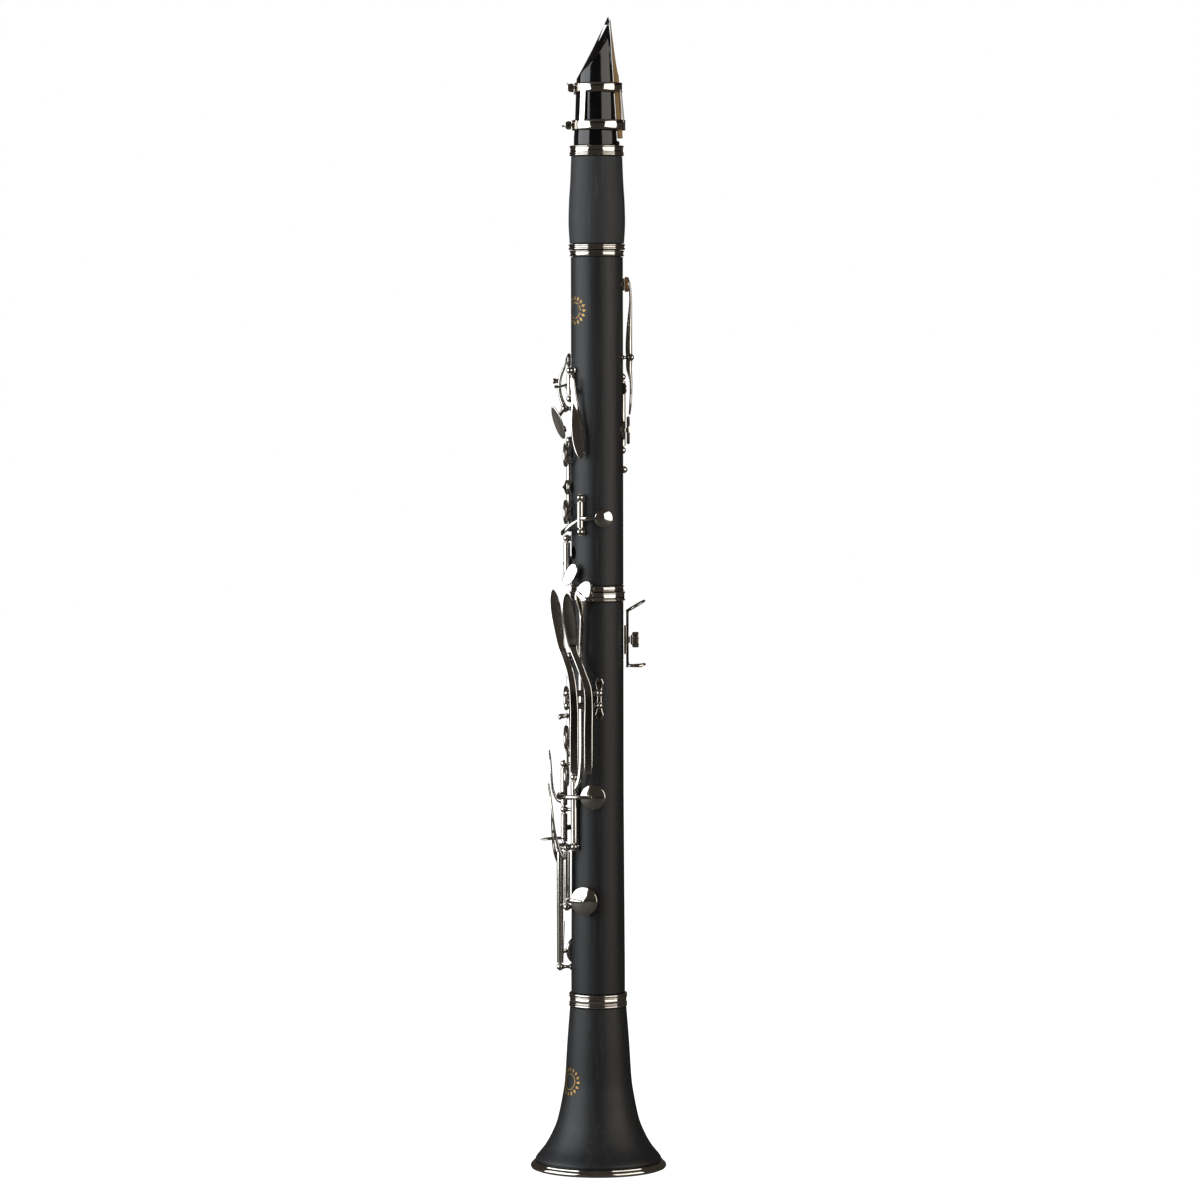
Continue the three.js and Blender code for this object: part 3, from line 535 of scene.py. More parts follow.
def make_floor():
    c = colours()
    material, tree, shader = material_base("studio_paper")
    marks = place_group(tree, handling_marks(), Smudge_Scale=3.0, Scratch_Scale=400.0)
    paper = blend_colour(tree, marks.outputs["Smudge"], c.floor, [v * 0.985 for v in c.floor])
    path = tree.nodes.new("ShaderNodeLightPath")
    dim = tree.nodes.new("ShaderNodeMix")
    dim.data_type = "RGBA"
    dim.inputs["A"].default_value = (0.10, 0.09, 0.08, 1)
    tree.links.new(path.outputs["Is Camera Ray"], dim.inputs["Factor"])
    tree.links.new(paper, dim.inputs["B"])
    tree.links.new(dim.outputs["Result"], shader.inputs["Base Color"])
    roughness_between(tree, shader, marks.outputs["Scratches"], 0.75, 0.85)
    shader.inputs["Emission Color"].default_value = (1, 1, 1, 1)
    tree.links.new(maths(tree, "MULTIPLY", path.outputs["Is Camera Ray"], 1.0),
        shader.inputs["Emission Strength"])
    return material


MAKERS = {
    "ebony_oiled": make_ebony, "barrel_wood_matte": make_barrel, "reed_cane": make_cane,
    "cork_sheet": make_cork, "pad_skin": make_pad, "nickel_plate": make_nickel, "hard_rubber": make_rubber,
    "gold_leaf": make_gold, "studio_paper": make_floor,
}


def finish_of(name):
    """The named finish, made the first time that it is asked for."""
    return bpy.data.materials.get(name) or MAKERS[name]()


# ---------- operators: the turned body ----------
HOLES = {
    "left1": (8, 414), "left2": (8, 381), "left3": (20, 357.5),
    "right1": (8, 273.4), "right2": (8, 250.6), "right3": (8, 229),
}
PADS = {
    "a": (-2, 468.5), "g_sharp": (-4, 454.5), "thumb": (-152, 452), "left_ring": (8, 395.3),
    "left_sliver": (103, 377.7), "c_sharp": (-22, 351), "right_ring": (-8, 293), "right_sliver": (-78, 262),
    "f_sharp": (80, 217), "a_flat": (-72, 197), "f": (65, 157), "e": (-50, 125),
}
THUMB_HOLE = (180, 428)
REGISTER_HOLE = (180, 512)
TRILL_PADS = [(-56, 462), (-76, 474), (-106, 486), (-126, 498)]


def lathe(name, profile, material, body, nodes, sharp=32, steps=None):
    """A turned piece about the bore from a closed [radius, height] profile."""
    bm = bmesh.new()
    turn(bm, profile, steps or sizes().body_steps, closed=True)
    return finished(name, bm, material, body, nodes, sharp)


def cut_away(piece, bm, sharp):
    """Subtracts a closed shape, drawn in millimetres, from a piece."""
    bmesh.ops.scale(bm, vec=(MM, MM, MM), verts=bm.verts)
    mesh = bpy.data.meshes.new("cutter")
    bm.to_mesh(mesh)
    bm.free()
    tool = bpy.data.objects.new("cutter", mesh)
    bpy.context.scene.collection.objects.link(tool)
    cutter = piece.modifiers.new("cut", "BOOLEAN")
    cutter.operation = "DIFFERENCE"
    cutter.solver = "EXACT"
    cutter.use_self = True
    cutter.object = tool
    bpy.context.view_layer.update()
    result = bpy.data.meshes.new_from_object(piece.evaluated_get(bpy.context.evaluated_depsgraph_get()))
    piece.modifiers.clear()
    piece.data = result
    result.shade_smooth()
    result.set_sharp_from_angle(angle=math.radians(sharp))
    bpy.data.objects.remove(tool)


def drill(piece, holes, countersink=0.5):
    """Cuts round holes with softened rims into a turned piece; holes are (degrees, height, radius,
        surface)."""
    bm = bmesh.new()
    for degrees, z, radius, surface in holes:
        turn(bm, [(0, BORE - 3), (radius, BORE - 3), (radius, surface - countersink),
                  (radius + countersink, surface + 0.02), (radius + countersink * 3, surface + 3),
                  (0, surface + 3)], 36, Vector((0, 0, z)), outward(degrees))
    bmesh.ops.recalc_face_normals(bm, faces=bm.faces)
    cut_away(piece, bm, 32)


class BuildBell(bpy.types.Operator):
    """The flared bell with its rim guard and its socket ring"""
    bl_idname = "clarinet.bell"
    bl_label = "Bell"

    def execute(self, context):
        rim = radius_of("bell_rim")
        rim_top = top_of("bell_rim")
        neck_top = foot_of("bell_ring") - 0.3
        top = top_of("bell")
        neck = radius_of("bell_ring") - 0.5
        wall = 4.6
        socket = 11.6
        lip = rim - 3.7
        flare = smooth_line([(neck, neck_top), (18.0, 73.3), (19.3, 52.7), (20.6, 43.2), (23.5, 29.1),
                             (26.7, 20.7), (30.9, 13.1), (36.2, 6.3), (lip + 0.4, rim_top + 0.25)], 48)
        outside = [(radius, z) for radius, z in flare]
        inside = [(radius - wall, z) for radius, z in reversed(flare[4:44])]
        lathe("bell_body", [
            (lip - 2.9, 0.35), (lip - 2.2, 0.3), (lip, 0.6), (lip, rim_top + 0.2), *reversed(outside),
            (neck - 1.5, neck_top + 0.05), (neck - 1.5, top - 0.1), (socket, top), (socket, top - 16.3),
            (socket - 2, top - 16.4), *reversed(inside)], finish_of("ebony_oiled"), "body", ["bell"])
        lathe("bell_rim_guard", [
            (rim - 3.4, 0.15), (rim - 3.0, 0), (rim - 1.4, 0), (rim - 0.4, 0.35), (rim, 1.0), (rim, 1.7),
            (rim - 0.4, 2.5), (rim - 1.5, 3.3), (rim - 1.7, 3.8), (rim - 2.1, 4.0), (rim - 3.3, 4.0)],
            finish_of("nickel_plate"), "body", ["bell_rim"])
        beaded_ring("bell_socket_ring", "bell_ring", neck - 1.2, [0.8, 0.45], [0.8, 0.45], "body")
        return {"FINISHED"}


def beaded_ring(name, node, inner, lower_beads, upper_beads, body):
    """A metal end ring with turned beads at both ends; each list holds the beads' heights."""
    low, high, outer = foot_of(node), top_of(node), radius_of(node)
    bead = 0.5
    flat = outer - bead

    def beads(start, heights, sign):
        rows = []
        z = start
        for height in heights:
            for step in range(9):
                angle = math.pi * step / 8
                rows.append((flat - 0.1 + (bead + 0.1) * math.sin(angle),
                             z + sign * height * (1 - math.cos(angle))))
            z += sign * (height * 2 + 0.12)
        return rows
    lower = beads(low + 0.05, lower_beads, 1)
    upper = beads(high - 0.05, upper_beads, -1)
    lathe(name, [(inner, low), *lower, (flat, lower[-1][1] + 0.2), (flat, upper[-1][1] - 0.2),
                 *reversed(upper), (inner, high)], finish_of("nickel_plate"), body, [node])


class BuildJoints(bpy.types.Operator):
    """The drilled lower and upper joints, their end rings and the two set tubes"""
    bl_idname = "clarinet.joints"
    bl_label = "Joints"

    def execute(self, context):
        ebony = finish_of("ebony_oiled")
        tenon = 10.4
        seat = BODY_RADIUS - 1.2
        socket = 11.6
        low, high = foot_of("lower_joint"), top_of("lower_joint")
        shoulder = low + 16
        seat_low = high - 5.6
        lower = lathe("lower_joint_body", [
            (BORE, low + 0.4), (BORE + 0.5, low), (tenon - 0.5, low), (tenon, low + 0.5), (tenon, shoulder),
            (SWELL - 0.3, shoulder), (SWELL, shoulder + 0.3), (SWELL, shoulder + 14),
            (SWELL - 0.3, shoulder + 60), (BODY_RADIUS, 220), (BODY_RADIUS, seat_low - 0.3),
            (BODY_RADIUS - 0.3, seat_low), (seat, seat_low), (seat, high - 0.1), (socket, high - 0.1),
            (socket, high - 16.3), (BORE, high - 16.4)], ebony, "body", ["lower_joint"])
        large = [(*PADS[name], 5.2) for name in ("f_sharp", "a_flat", "f", "e")]
        small = [(*PADS[name], 3.0) for name in ("right_ring", "right_sliver")]
        open_holes = [(*HOLES[name], 3.8) for name in ("right1", "right2", "right3")]
        drill(lower, [(a, z, r, SWELL if z < 200 else BODY_RADIUS) for a, z,
            r in large + small + open_holes])
        low, high = foot_of("upper_joint"), top_of("upper_joint")
        base, crown = low + 16, high - 16
        upper = lathe("upper_joint_body", [
            (BORE, low + 0.4), (BORE + 0.5, low), (tenon - 0.5, low), (tenon, low + 0.5), (tenon, base),
            (seat, base), (seat, base + 3.7), (BODY_RADIUS - 0.3, base + 3.7), (BODY_RADIUS, base + 4),
            (BODY_RADIUS, crown - 4), (BODY_RADIUS - 0.3, crown - 3.7), (seat, crown - 3.7), (seat, crown),
            (tenon, crown), (tenon, high - 0.5), (tenon - 0.5, high), (BORE + 0.5, high), (BORE,
                high - 0.4)],
            ebony, "body", ["upper_joint"])
        small = [(*PADS[name], 2.4) for name in ("a", "g_sharp", "thumb", "left_ring", "left_sliver",
            "c_sharp")]
        small += [(*place, 2.4) for place in TRILL_PADS]
        open_holes = [(*HOLES[name], 3.8) for name in ("left1", "left2", "left3")]
        tubes = [(*REGISTER_HOLE, 3.9), (*THUMB_HOLE, 5.7)]
        drill(upper, [(a, z, r, BODY_RADIUS) for a, z, r in small + open_holes + tubes])
        beaded_ring("lower_joint_socket_ring", "socket_ring", seat + 0.3, [0.5], [0.5], "body")
        beaded_ring("upper_joint_bottom_end_ring", "upper_joint_bottom_ring", seat + 0.3, [0.3], [0.35],
            "body")
        beaded_ring("upper_joint_top_end_ring", "upper_joint_top_ring", seat + 0.3, [0.35], [0.45], "body")
        self.set_tube("register_bush", "register_tube", REGISTER_HOLE, 3.6, 1.6)
        self.set_tube("thumb_bush", "thumb_tube", THUMB_HOLE, 5.4, 3.8)
        return {"FINISHED"}

    def set_tube(self, name, node, place, outer, inner):
        bm = bmesh.new()
        end = radius_of(node)
        turn(bm, [(inner, 7.8), (outer, 7.8), (outer, end - 0.35), (outer - 0.3, end), (inner + 0.4, end),
                  (inner, end - 0.4)], 40, Vector((0, 0, place[1])), outward(place[0]), closed=True)
        finished(name, bm, finish_of("nickel_plate"), "body", [node])


class BuildBarrel(bpy.types.Operator):
    """The waisted barrel and its two beaded rings"""
    bl_idname = "clarinet.barrel"
    bl_label = "Barrel"

    def execute(self, context):
        low, high = foot_of("barrel"), top_of("barrel")
        belly = radius_of("barrel")
        waist = radius_of("barrel_top_ring") - 1.0
        ring_low, ring_high = top_of("barrel_bottom_ring"), foot_of("barrel_top_ring")
        seat = waist - 1.2
        socket = 11.6
        curve = smooth_line([(belly - 0.6, ring_low + 0.6), (belly - 0.1, low + 12), (belly, low + 18),
                             (belly - 0.3, low + 28), (waist + 0.55, ring_high - 14),
                             (waist + 0.05, ring_high - 0.6)], 30)
        lathe("barrel_body", [
            (socket, low), (seat, low), (seat, ring_low + 0.3), (belly - 0.9, ring_low + 0.3), *curve,
            (waist - 0.25, ring_high - 0.3), (seat, ring_high - 0.3), (seat, high), (socket, high),
            (socket, high - 16.3), (BORE, high - 16.3), (BORE, low + 16.3), (socket, low + 16.3)],
            finish_of("barrel_wood_matte"), "head", ["barrel"])
        beaded_ring("barrel_bottom_end_ring", "barrel_bottom_ring", seat + 0.3, [0.6], [0.6], "head")
        beaded_ring("barrel_top_end_ring", "barrel_top_ring", seat + 0.3, [0.55, 0.5], [0.5], "head")
        return {"FINISHED"}


class BuildTenonCorks(bpy.types.Operator):
    """The cork that seals each tenon in its socket"""
    bl_idname = "clarinet.tenon_corks"
    bl_label = "Tenon corks"

    def execute(self, context):
        for node, body in (("lower_tenon_cork", "body"), ("middle_tenon_cork", "body"),
                           ("top_tenon_cork", "body"), ("mouthpiece_cork", "head")):
            low, high, outer = foot_of(node), top_of(node), radius_of(node)
            lathe(node + "_ring", [(10.7, low), (outer - 0.2, low), (outer, low + 0.3), (outer, high - 0.3),
                                   (outer - 0.2, high), (10.7, high)], finish_of("cork_sheet"), body, [node],
                  steps=64)
        return {"FINISHED"}


# ---------- operators: mouthpiece, reed, ligature ----------
def lerp(start, end, share):
    return start + (end - start) * share


class BuildMouthpiece(bpy.types.Operator):
    """The hard rubber mouthpiece with its table, window and sloping beak"""
    bl_idname = "clarinet.mouthpiece"
    bl_label = "Mouthpiece"

    def execute(self, context):
        foot, tip = foot_of("mouthpiece"), top_of("mouthpiece")
        shank = foot + 16
        heel = tip - 35
        widest = radius_of("mouthpiece")

        def width(z):
            """Half width of the turned blank at a height."""
            line = [(shank, 13.2), (shank + 5, 13.1), (shank + 12, 12.5), (heel - 8, 11.9), (heel, 11.5),
                    (heel + 15, 10.4), (tip - 8, 8.9), (tip - 3, 8.0), (tip, 6.6)]
            for (low, first), (high, second) in zip(line, line[1:]):
                if z <= high:
                    return lerp(first, second, (z - low) / (high - low))
            return line[-1][1]

        def table(z):
            return lerp(11.6, 7.2, max(0.0, (z - shank - 4.1) / (tip - shank - 4.1)))

        def beak(z):
            """The player's teeth side: a shallow hollow from the heel up to the tip."""
            share = max(0.0, (z - heel) / (tip - heel))
            return lerp(-11.4, 6.3, share) + 0.5 * math.sin(math.pi * share)

        def arch(z):
            """How strongly the beak is rounded from side to side."""
            share = max(0.0, (z - heel) / (tip - heel))
            bends = [(0, 0.012), (0.57, 0.062), (0.86, 0.085), (1.0, 0.02)]
            for (low, first), (high, second) in zip(bends, bends[1:]):
                if share <= high:
                    return lerp(first, second, (share - low) / (high - low))
            return bends[-1][1]

        steps = 120
        heights = [shank + (tip - 0.12 - shank) * step / 110 for step in range(111)]
        bm = bmesh.new()
        rows = []
        for radius, z in ((10.0, foot), (10.4, foot + 0.4), (10.4, shank), (13.0, shank)):
            rows.append([bm.verts.new((radius * math.cos(a), radius * math.sin(a), z))
                         for a in (2 * math.pi * k / steps for k in range(steps))])
        for z in heights[1:]:
            ring = []
            for k in range(steps):
                a = 2 * math.pi * k / steps
                x, y = width(z) * math.cos(a), width(z) * math.sin(a)
                if x > 0:
                    y = math.copysign(max(abs(y), min(7.0, abs(math.tan(a)) * table(z))), y)
                back = table(z) if z > shank + 2.4 else widest + 2
                front = min(beak(z) + arch(z) * y * y, back - 0.25) if z > heel else -40
                ring.append(bm.verts.new((min(max(x, front), back), y, z)))
            rows.append(ring)
        for lower, upper in zip(rows, rows[1:]):
            for k in range(steps):
                after = (k + 1) % steps
                bm.faces.new((lower[k], lower[after], upper[after], upper[k]))
        bm.faces.new(list(reversed(rows[0])))
        bm.faces.new(rows[-1])
        piece = finished("mouthpiece_blank", bm, finish_of("hard_rubber"), "head", ["mouthpiece"],
                         28)
        self.hollow(piece, foot, heel, tip)
        return {"FINISHED"}

    def hollow(self, piece, foot, heel, tip):
        """Cuts the bore and the window under the reed."""
        bm = bmesh.new()
        turn(bm, [(0, foot - 1), (BORE, foot - 1), (6.6, heel - 10), (0, heel - 10)], 48)
        corners = [(30, heel - 8), (30, tip - 3), (4.4, tip - 4), (-6.0, heel + 1), (-6.0, heel - 12),
                   (5, heel - 12)]
        near = [bm.verts.new((x, -4.7, z)) for x, z in corners]
        far = [bm.verts.new((x, 4.7, z)) for x, z in corners]
        bm.faces.new(near)
        bm.faces.new(list(reversed(far)))
        for k in range(len(corners)):
            after = (k + 1) % len(corners)
            bm.faces.new((near[k], far[k], far[after], near[after]))
        bmesh.ops.recalc_face_normals(bm, faces=bm.faces)
        cut_away(piece, bm, 28)


class BuildReed(bpy.types.Operator):
    """The cane reed: a rounded bark back and a long thin cut towards the tip"""
    bl_idname = "clarinet.reed"
    bl_label = "Reed"

    def execute(self, context):
        low, high = foot_of("reed"), top_of("reed")
        vamp = low + 36

        def table(z):
            return lerp(11.6, 7.2, (z - low - 0.02) / (high + 0.4 - low)) + 0.33

        def thick(z):
            if z < vamp:
                return 3.1
            share = (z - vamp) / (high - vamp)
            return lerp(3.05, 0.35, share ** 0.62)
        bm = bmesh.new()
        rows = []
        across = 20
        for step in range(70):
            z = lerp(low, high, step / 69)
            base = table(z)
            ring = []
            for side in range(across + 1):
                y = lerp(-6.15, 6.15, side / across)
                tipped = max(0.0, z - (high - 2.2))
                crown = max(0.25, thick(z) - 1.5 * (y / 6.2) ** 2 * min(1.0, thick(z) / 2.2))
                drop = tipped * (y / 6.2) ** 2 * 0.8
                ring.append(bm.verts.new((base + crown, y, z - drop)))
            ring += [bm.verts.new((base, 6.15, ring[-1].co.z)), bm.verts.new((base, -6.15, ring[0].co.z))]
            rows.append(ring)
        count = len(rows[0])
        for lower, upper in zip(rows, rows[1:]):
            for k in range(count):
                after = (k + 1) % count
                bm.faces.new((lower[k], lower[after], upper[after], upper[k]))
        bm.faces.new(list(reversed(rows[0])))
        bm.faces.new(rows[-1])
        finished("reed_cane_blade", bm, finish_of("reed_cane"), "head", ["reed"], 35)
        return {"FINISHED"}


BANDS = [
    {"low": 600.5, "high": 606.2, "inner": 14.7, "shift": 1.2},
    {"low": 622.1, "high": 627.5, "inner": 13.1, "shift": 1.0},
]
LUG = 2.3


def lug_x(band):
    return band["shift"] - band["inner"] - LUG - 0.2


class BuildLigature(bpy.types.Operator):
    """Two rolled bands, the rails that join them, the lugs and the two wing screws"""
    bl_idname = "clarinet.ligature"
    bl_label = "Ligature"

    def execute(self, context):
        nickel = finish_of("nickel_plate")
        bm = bmesh.new()
        for band in BANDS:
            self.band(bm, band)
        lower, upper = BANDS
        for degrees in (50, -50):
            self.rail(bm, lower, upper, degrees, 1.9, 0.35)
        for degrees in (160, -160):
            self.rail(bm, lower, upper, degrees, 0.8, 0.5)
        finished("ligature_bands", bm, nickel, "head", ["ligature"])
        for band, name, tilt in ((lower, "lower", (-1, 0, 0)), (upper, "upper", (-0.6, 0, 0.8))):
            bm = bmesh.new()
            self.wing_screw(bm, band, Vector(tilt).normalized())
            finished(f"ligature_wing_screw_{name}", bm, nickel, f"{name}_ligature_screw",
                     [f"ligature_screw_{name}"])
        return {"FINISHED"}

    def band(self, bm, band):
        low, high = band["low"], band["high"]
        inner, outer = band["inner"], band["inner"] + 0.7
        steps = 96
        split = math.asin(0.9 / inner)
        rows = []
        section = [(inner, low), (outer - 0.1, low), (outer + 0.15, low + 0.35), (outer - 0.1, low + 0.8),
                   (outer - 0.1, high - 0.8), (outer + 0.15, high - 0.35), (outer - 0.1, high), (inner,
                       high)]
        for k in range(steps + 1):
            a = math.pi + split + (2 * math.pi - 2 * split) * k / steps
            rows.append([bm.verts.new((band["shift"] + r * math.cos(a), r * math.sin(a), z)) for r,
                z in section])
        for first, second in zip(rows, rows[1:]):
            for k in range(len(section)):
                after = (k + 1) % len(section)
                bm.faces.new((first[k], first[after], second[after], second[k]))
        bm.faces.new(rows[0])
        bm.faces.new(list(reversed(rows[-1])))
        x, z = lug_x(band), (low + high) / 2
        for side in (1, -1):
            start = Vector((x, side * 1.2, z))
            turn(bm, [(1.2, 0), (LUG - 0.3, 0), (LUG, 0.3), (LUG, 0.9), (LUG - 0.35, 1.2), (LUG - 0.35, 1.9),
                      (LUG, 2.2), (LUG, 2.7), (LUG - 0.3, 3.0), (1.2, 3.0)], 28, start, Vector((0, side, 0)),
                 closed=True)
            turn(bm, [(0.8, 0), (1.35, 0.15), (1.35, 1.35), (0.8, 1.5)], 20,
                 Vector((x + 2.4, side * 1.25, z)), Vector((0, side, 0)), closed=True)

    def rail(self, bm, lower, upper, degrees, half_width, half_thickness):
        def wall(band, z):
            return around(degrees, band["inner"] + 0.45, z) + Vector((band["shift"], 0, 0))
        start, end = wall(lower, lower["high"] - 1.2), wall(upper, upper["low"] + 1.2)
        loft(bm, [(start.lerp(end, share), half_width, half_thickness) for share in (0, 0.5, 1)],
             outward(degrees), 12, 16, 4)

    def wing_screw(self, bm, band, along):
        x, z = lug_x(band), (band["low"] + band["high"]) / 2
        outside = 4.5

        def at(y):
            return Vector((x, y, z))
        turn(bm, [(0, 0), (0.9, 0), (0.9, 11.0), (0, 11.0)], 20, at(-outside - 1.0), Vector((0, 1, 0)))
        turn(bm, [(0, 0), (1.5, 0), (2.0, 0.3), (2.0, 1.1), (1.8, 1.4), (0.5, 1.4), (0.5, 1.0), (0, 1.0)],
            28,
             at(-outside), Vector((0, -1, 0)))
        turn(bm, [(0, 0), (1.9, 0), (1.9, 0.6), (1.4, 0.9), (1.3, 2.6), (1.6, 3.4), (1.2, 4.0), (0, 4.2)],
            28,
             at(outside), Vector((0, 1, 0)))
        centre = at(outside + 5.4)
        for side in (1, -1):
            loft(bm, [(centre + along * side * reach, wide, thick) for reach, wide, thick in (
                (0, 1.5, 0.95), (1.4, 1.2, 0.6), (2.8, 1.75, 0.5), (3.9, 1.3, 0.45), (4.15, 0.5, 0.3))],
                along.cross(Vector((0, 1, 0))), 22, 18, 2.2)


# ---------- keywork: parts that every key shares ----------
def key_piece(name, bm, node=None, sharp=38):
    """A finished key that rides on its own body and stands for its CAD node."""
    return finished(name + "_metal", bm, finish_of("nickel_plate"), name, [node or name], sharp)


def hung_key(posts, node, joint):
    """Puts up the posts of a pivot and starts the key that turns between them."""
    heads = hinge_ends(node, joint, sizes().ball)
    posts_piece(posts, node, heads)
    bm = bmesh.new()
    hinge_between(bm, *heads)
    return bm


def padded_key(name, bm, *pad_place):
    """A finished key with its pad: the pad's place, height and radius."""
    key_piece(name, bm)
    key_pad(name, *pad_place)


def key_pad(name, place, height, radius, direction=None):
    """The skin pad under one cup of a key."""
    bm = bmesh.new()
    facing = direction or outward(place[0])
    pad(bm, around(place[0], height, place[1]), facing, radius - 0.55, sizes().pad_depth)
    finished(f"{name}_pad_{round(place[1])}", bm, finish_of("pad_skin"), name, ())


def cup_at(bm, place, height, radius, depth=3.0, point_up=0.0):
    cup(bm, around(place[0], height, place[1]), outward(place[0]), radius, depth, 44, point_up)


def hinge_between(bm, start, end):
    """A key's hinge tube between two ball heads, as one tube that stops a little short of each head."""
    play = sizes().ball + 0.3
    along = (end - start).normalized()
    tube(bm, start + along * play, end - along * play, sizes().hinge)


def ring_key_at(bm, hole, outer, height):
    finger_ring(bm, around(hole[0], height, hole[1]), outward(hole[0]), outer, outer - 1.75,
                sizes().ring_thickness)


def sweep(start_degrees, end_degrees, start_radius, z, end_radius=None, end_z=None, count=4):
    """Points that run round the bore, as an arm does from its hinge to its cup."""
    result = []
    for step in range(count + 1):
        share = step / count
        result.append(around(lerp(start_degrees, end_degrees, share),
                             lerp(start_radius, end_radius or start_radius, share),
                             lerp(z, end_z or z, share)))
    return result


def cup_arm(bm, points, wide=1.5, tip=0.9, thick=1.1):
    """An arm that is broad at its hinge and runs out to a point on the middle of its cup."""
    last = len(points) - 1
    stations = [(point, lerp(wide, tip, index / last), lerp(thick, thick * 0.75, index / last))
                for index, point in enumerate(points)]
    loft(bm, stations, radial, 26, 14, 2.2)


def touch_blade(bm, stations, face, power=2.3, dish=0.12, steps=36):
    """A spatula or touch: rounded edges and a lightly hollowed face."""
    loft(bm, stations, face, steps, 24, power, dish)


def posts_piece(name, node, heads):
    """The ball posts and the steel rod of one pivot; heads are the middles of the ball heads."""
    bm = bmesh.new()
    for head in heads:
        reach = math.hypot(head.x, head.y)
        surface = surface_radius(head.z)
        foot = Vector((head.x * surface / reach, head.y * surface / reach, head.z))
        ball_post(bm, head, foot, sizes().ball)
    tube(bm, heads[0], heads[-1], 0.9, 14, 0.1)
    along = (heads[-1] - heads[0]).normalized()
    for head, way in ((heads[0], -1), (heads[-1], 1)):
        screw_head(bm, head + along * way * (sizes().ball - 0.35), along * way, 1.05, 0.32)
    return finished(name, bm, finish_of("nickel_plate"), "body", [node], 38)


def surface_radius(z):
    """Radius of the wooden body where a post stands, with a hair of clearance."""
    return (SWELL if z < 220 else BODY_RADIUS) + 0.12


def needle_spring(name, start, end, body="body"):
    """A needle spring from its post to the key that it pushes, in the nickel finish."""
    bm = bmesh.new()
    turn(bm, [(0, 0), (0.28, 0), (0.12, (end - start).length), (0, (end - start).length)], 10, start,
        end - start)
    finished(name, bm, finish_of("nickel_plate"), body, ())


def bumper(name, centre, direction, radius, depth, body):
    """A glued cork that silences a key."""
    bm = bmesh.new()
    turn(bm, [(0, 0), (radius - 0.15, 0), (radius, 0.15), (radius, depth - 0.15), (radius - 0.15, depth),
              (0, depth)], 24, centre, direction)
    finished(name, bm, finish_of("cork_sheet"), body, ())


# ---------- operators: keys of the upper joint ----------
PAD_LIFT = BODY_RADIUS + 0.4


class BuildRegisterKey(bpy.types.Operator):
    """The register key rocking on the thumb side, with its pivot"""
    bl_idname = "clarinet.register_key"
    bl_label = "Register key"

    def execute(self, context):
        start, end = hinge_ends("register_pivot", "register_key_press", sizes().ball)
        posts_piece("register_posts", "register_pivot", [start, end])
        bm = bmesh.new()
        hinge_between(bm, start, end)
        top = REGISTER_HOLE[1]
        cup_at(bm, REGISTER_HOLE, BODY_RADIUS + 2.3, 4.1, 2.0)
        touch_blade(bm, [
            ((18.9, 0, top + 1), 1.0, 0.6), ((19.2, 0, 508), 1.6, 0.8),
            ((19.4, 0, 501), 1.9, 0.95), ((18.7, 0, 487), 2.2, 1.7),
            ((18.4, 0, 476), 2.4, 2.0), ((18.6, 0, 470), 2.4, 1.9),
            ((18.5, 0, 463.5), 2.3, 1.7), ((19.6, 0, 456.5), 2.7, 0.95),
            ((19.6, 0, 449), 3.3, 0.85), ((19.2, 0, 442), 3.0, 0.8),
            ((18.8, 0, 438), 1.9, 0.6), ((18.6, 0, 437), 0.7, 0.4)],
            Vector((1, 0, 0)), 2.4, 0.06, 64)
        key_piece("register_key", bm)
        bumper("register_key_cork_pad", Vector((BODY_RADIUS + 1.0, 0, top)), Vector((1, 0, 0)), 4.3, 1.9,
               "register_key")
        return {"FINISHED"}


class BuildThumbRing(bpy.types.Operator):
    """The thumb ring on its long rod, with its own small pad"""
    bl_idname = "clarinet.thumb_ring"
    bl_label = "Thumb ring"

    def execute(self, context):
        bm = hung_key("thumb_ring_posts", "thumb_ring_pivot", "thumb_ring_key_press")
        height = BODY_RADIUS + 2.0
        ring_key_at(bm, THUMB_HOLE, 8, height)
        arm(bm, sweep(-138, -156.5, 18.2, THUMB_HOLE[1], height + 0.9), sizes().arm)
        cup_at(bm, PADS["thumb"], PAD_LIFT + 1.2, 3.4, 2.4)
        cup_arm(bm, sweep(-138, -150, 18.2, PADS["thumb"][1], 18.4), 1.2, 0.7, 0.9)
        padded_key("thumb_ring_key", bm, PADS["thumb"], PAD_LIFT + 1.2, 3.4)
        return {"FINISHED"}


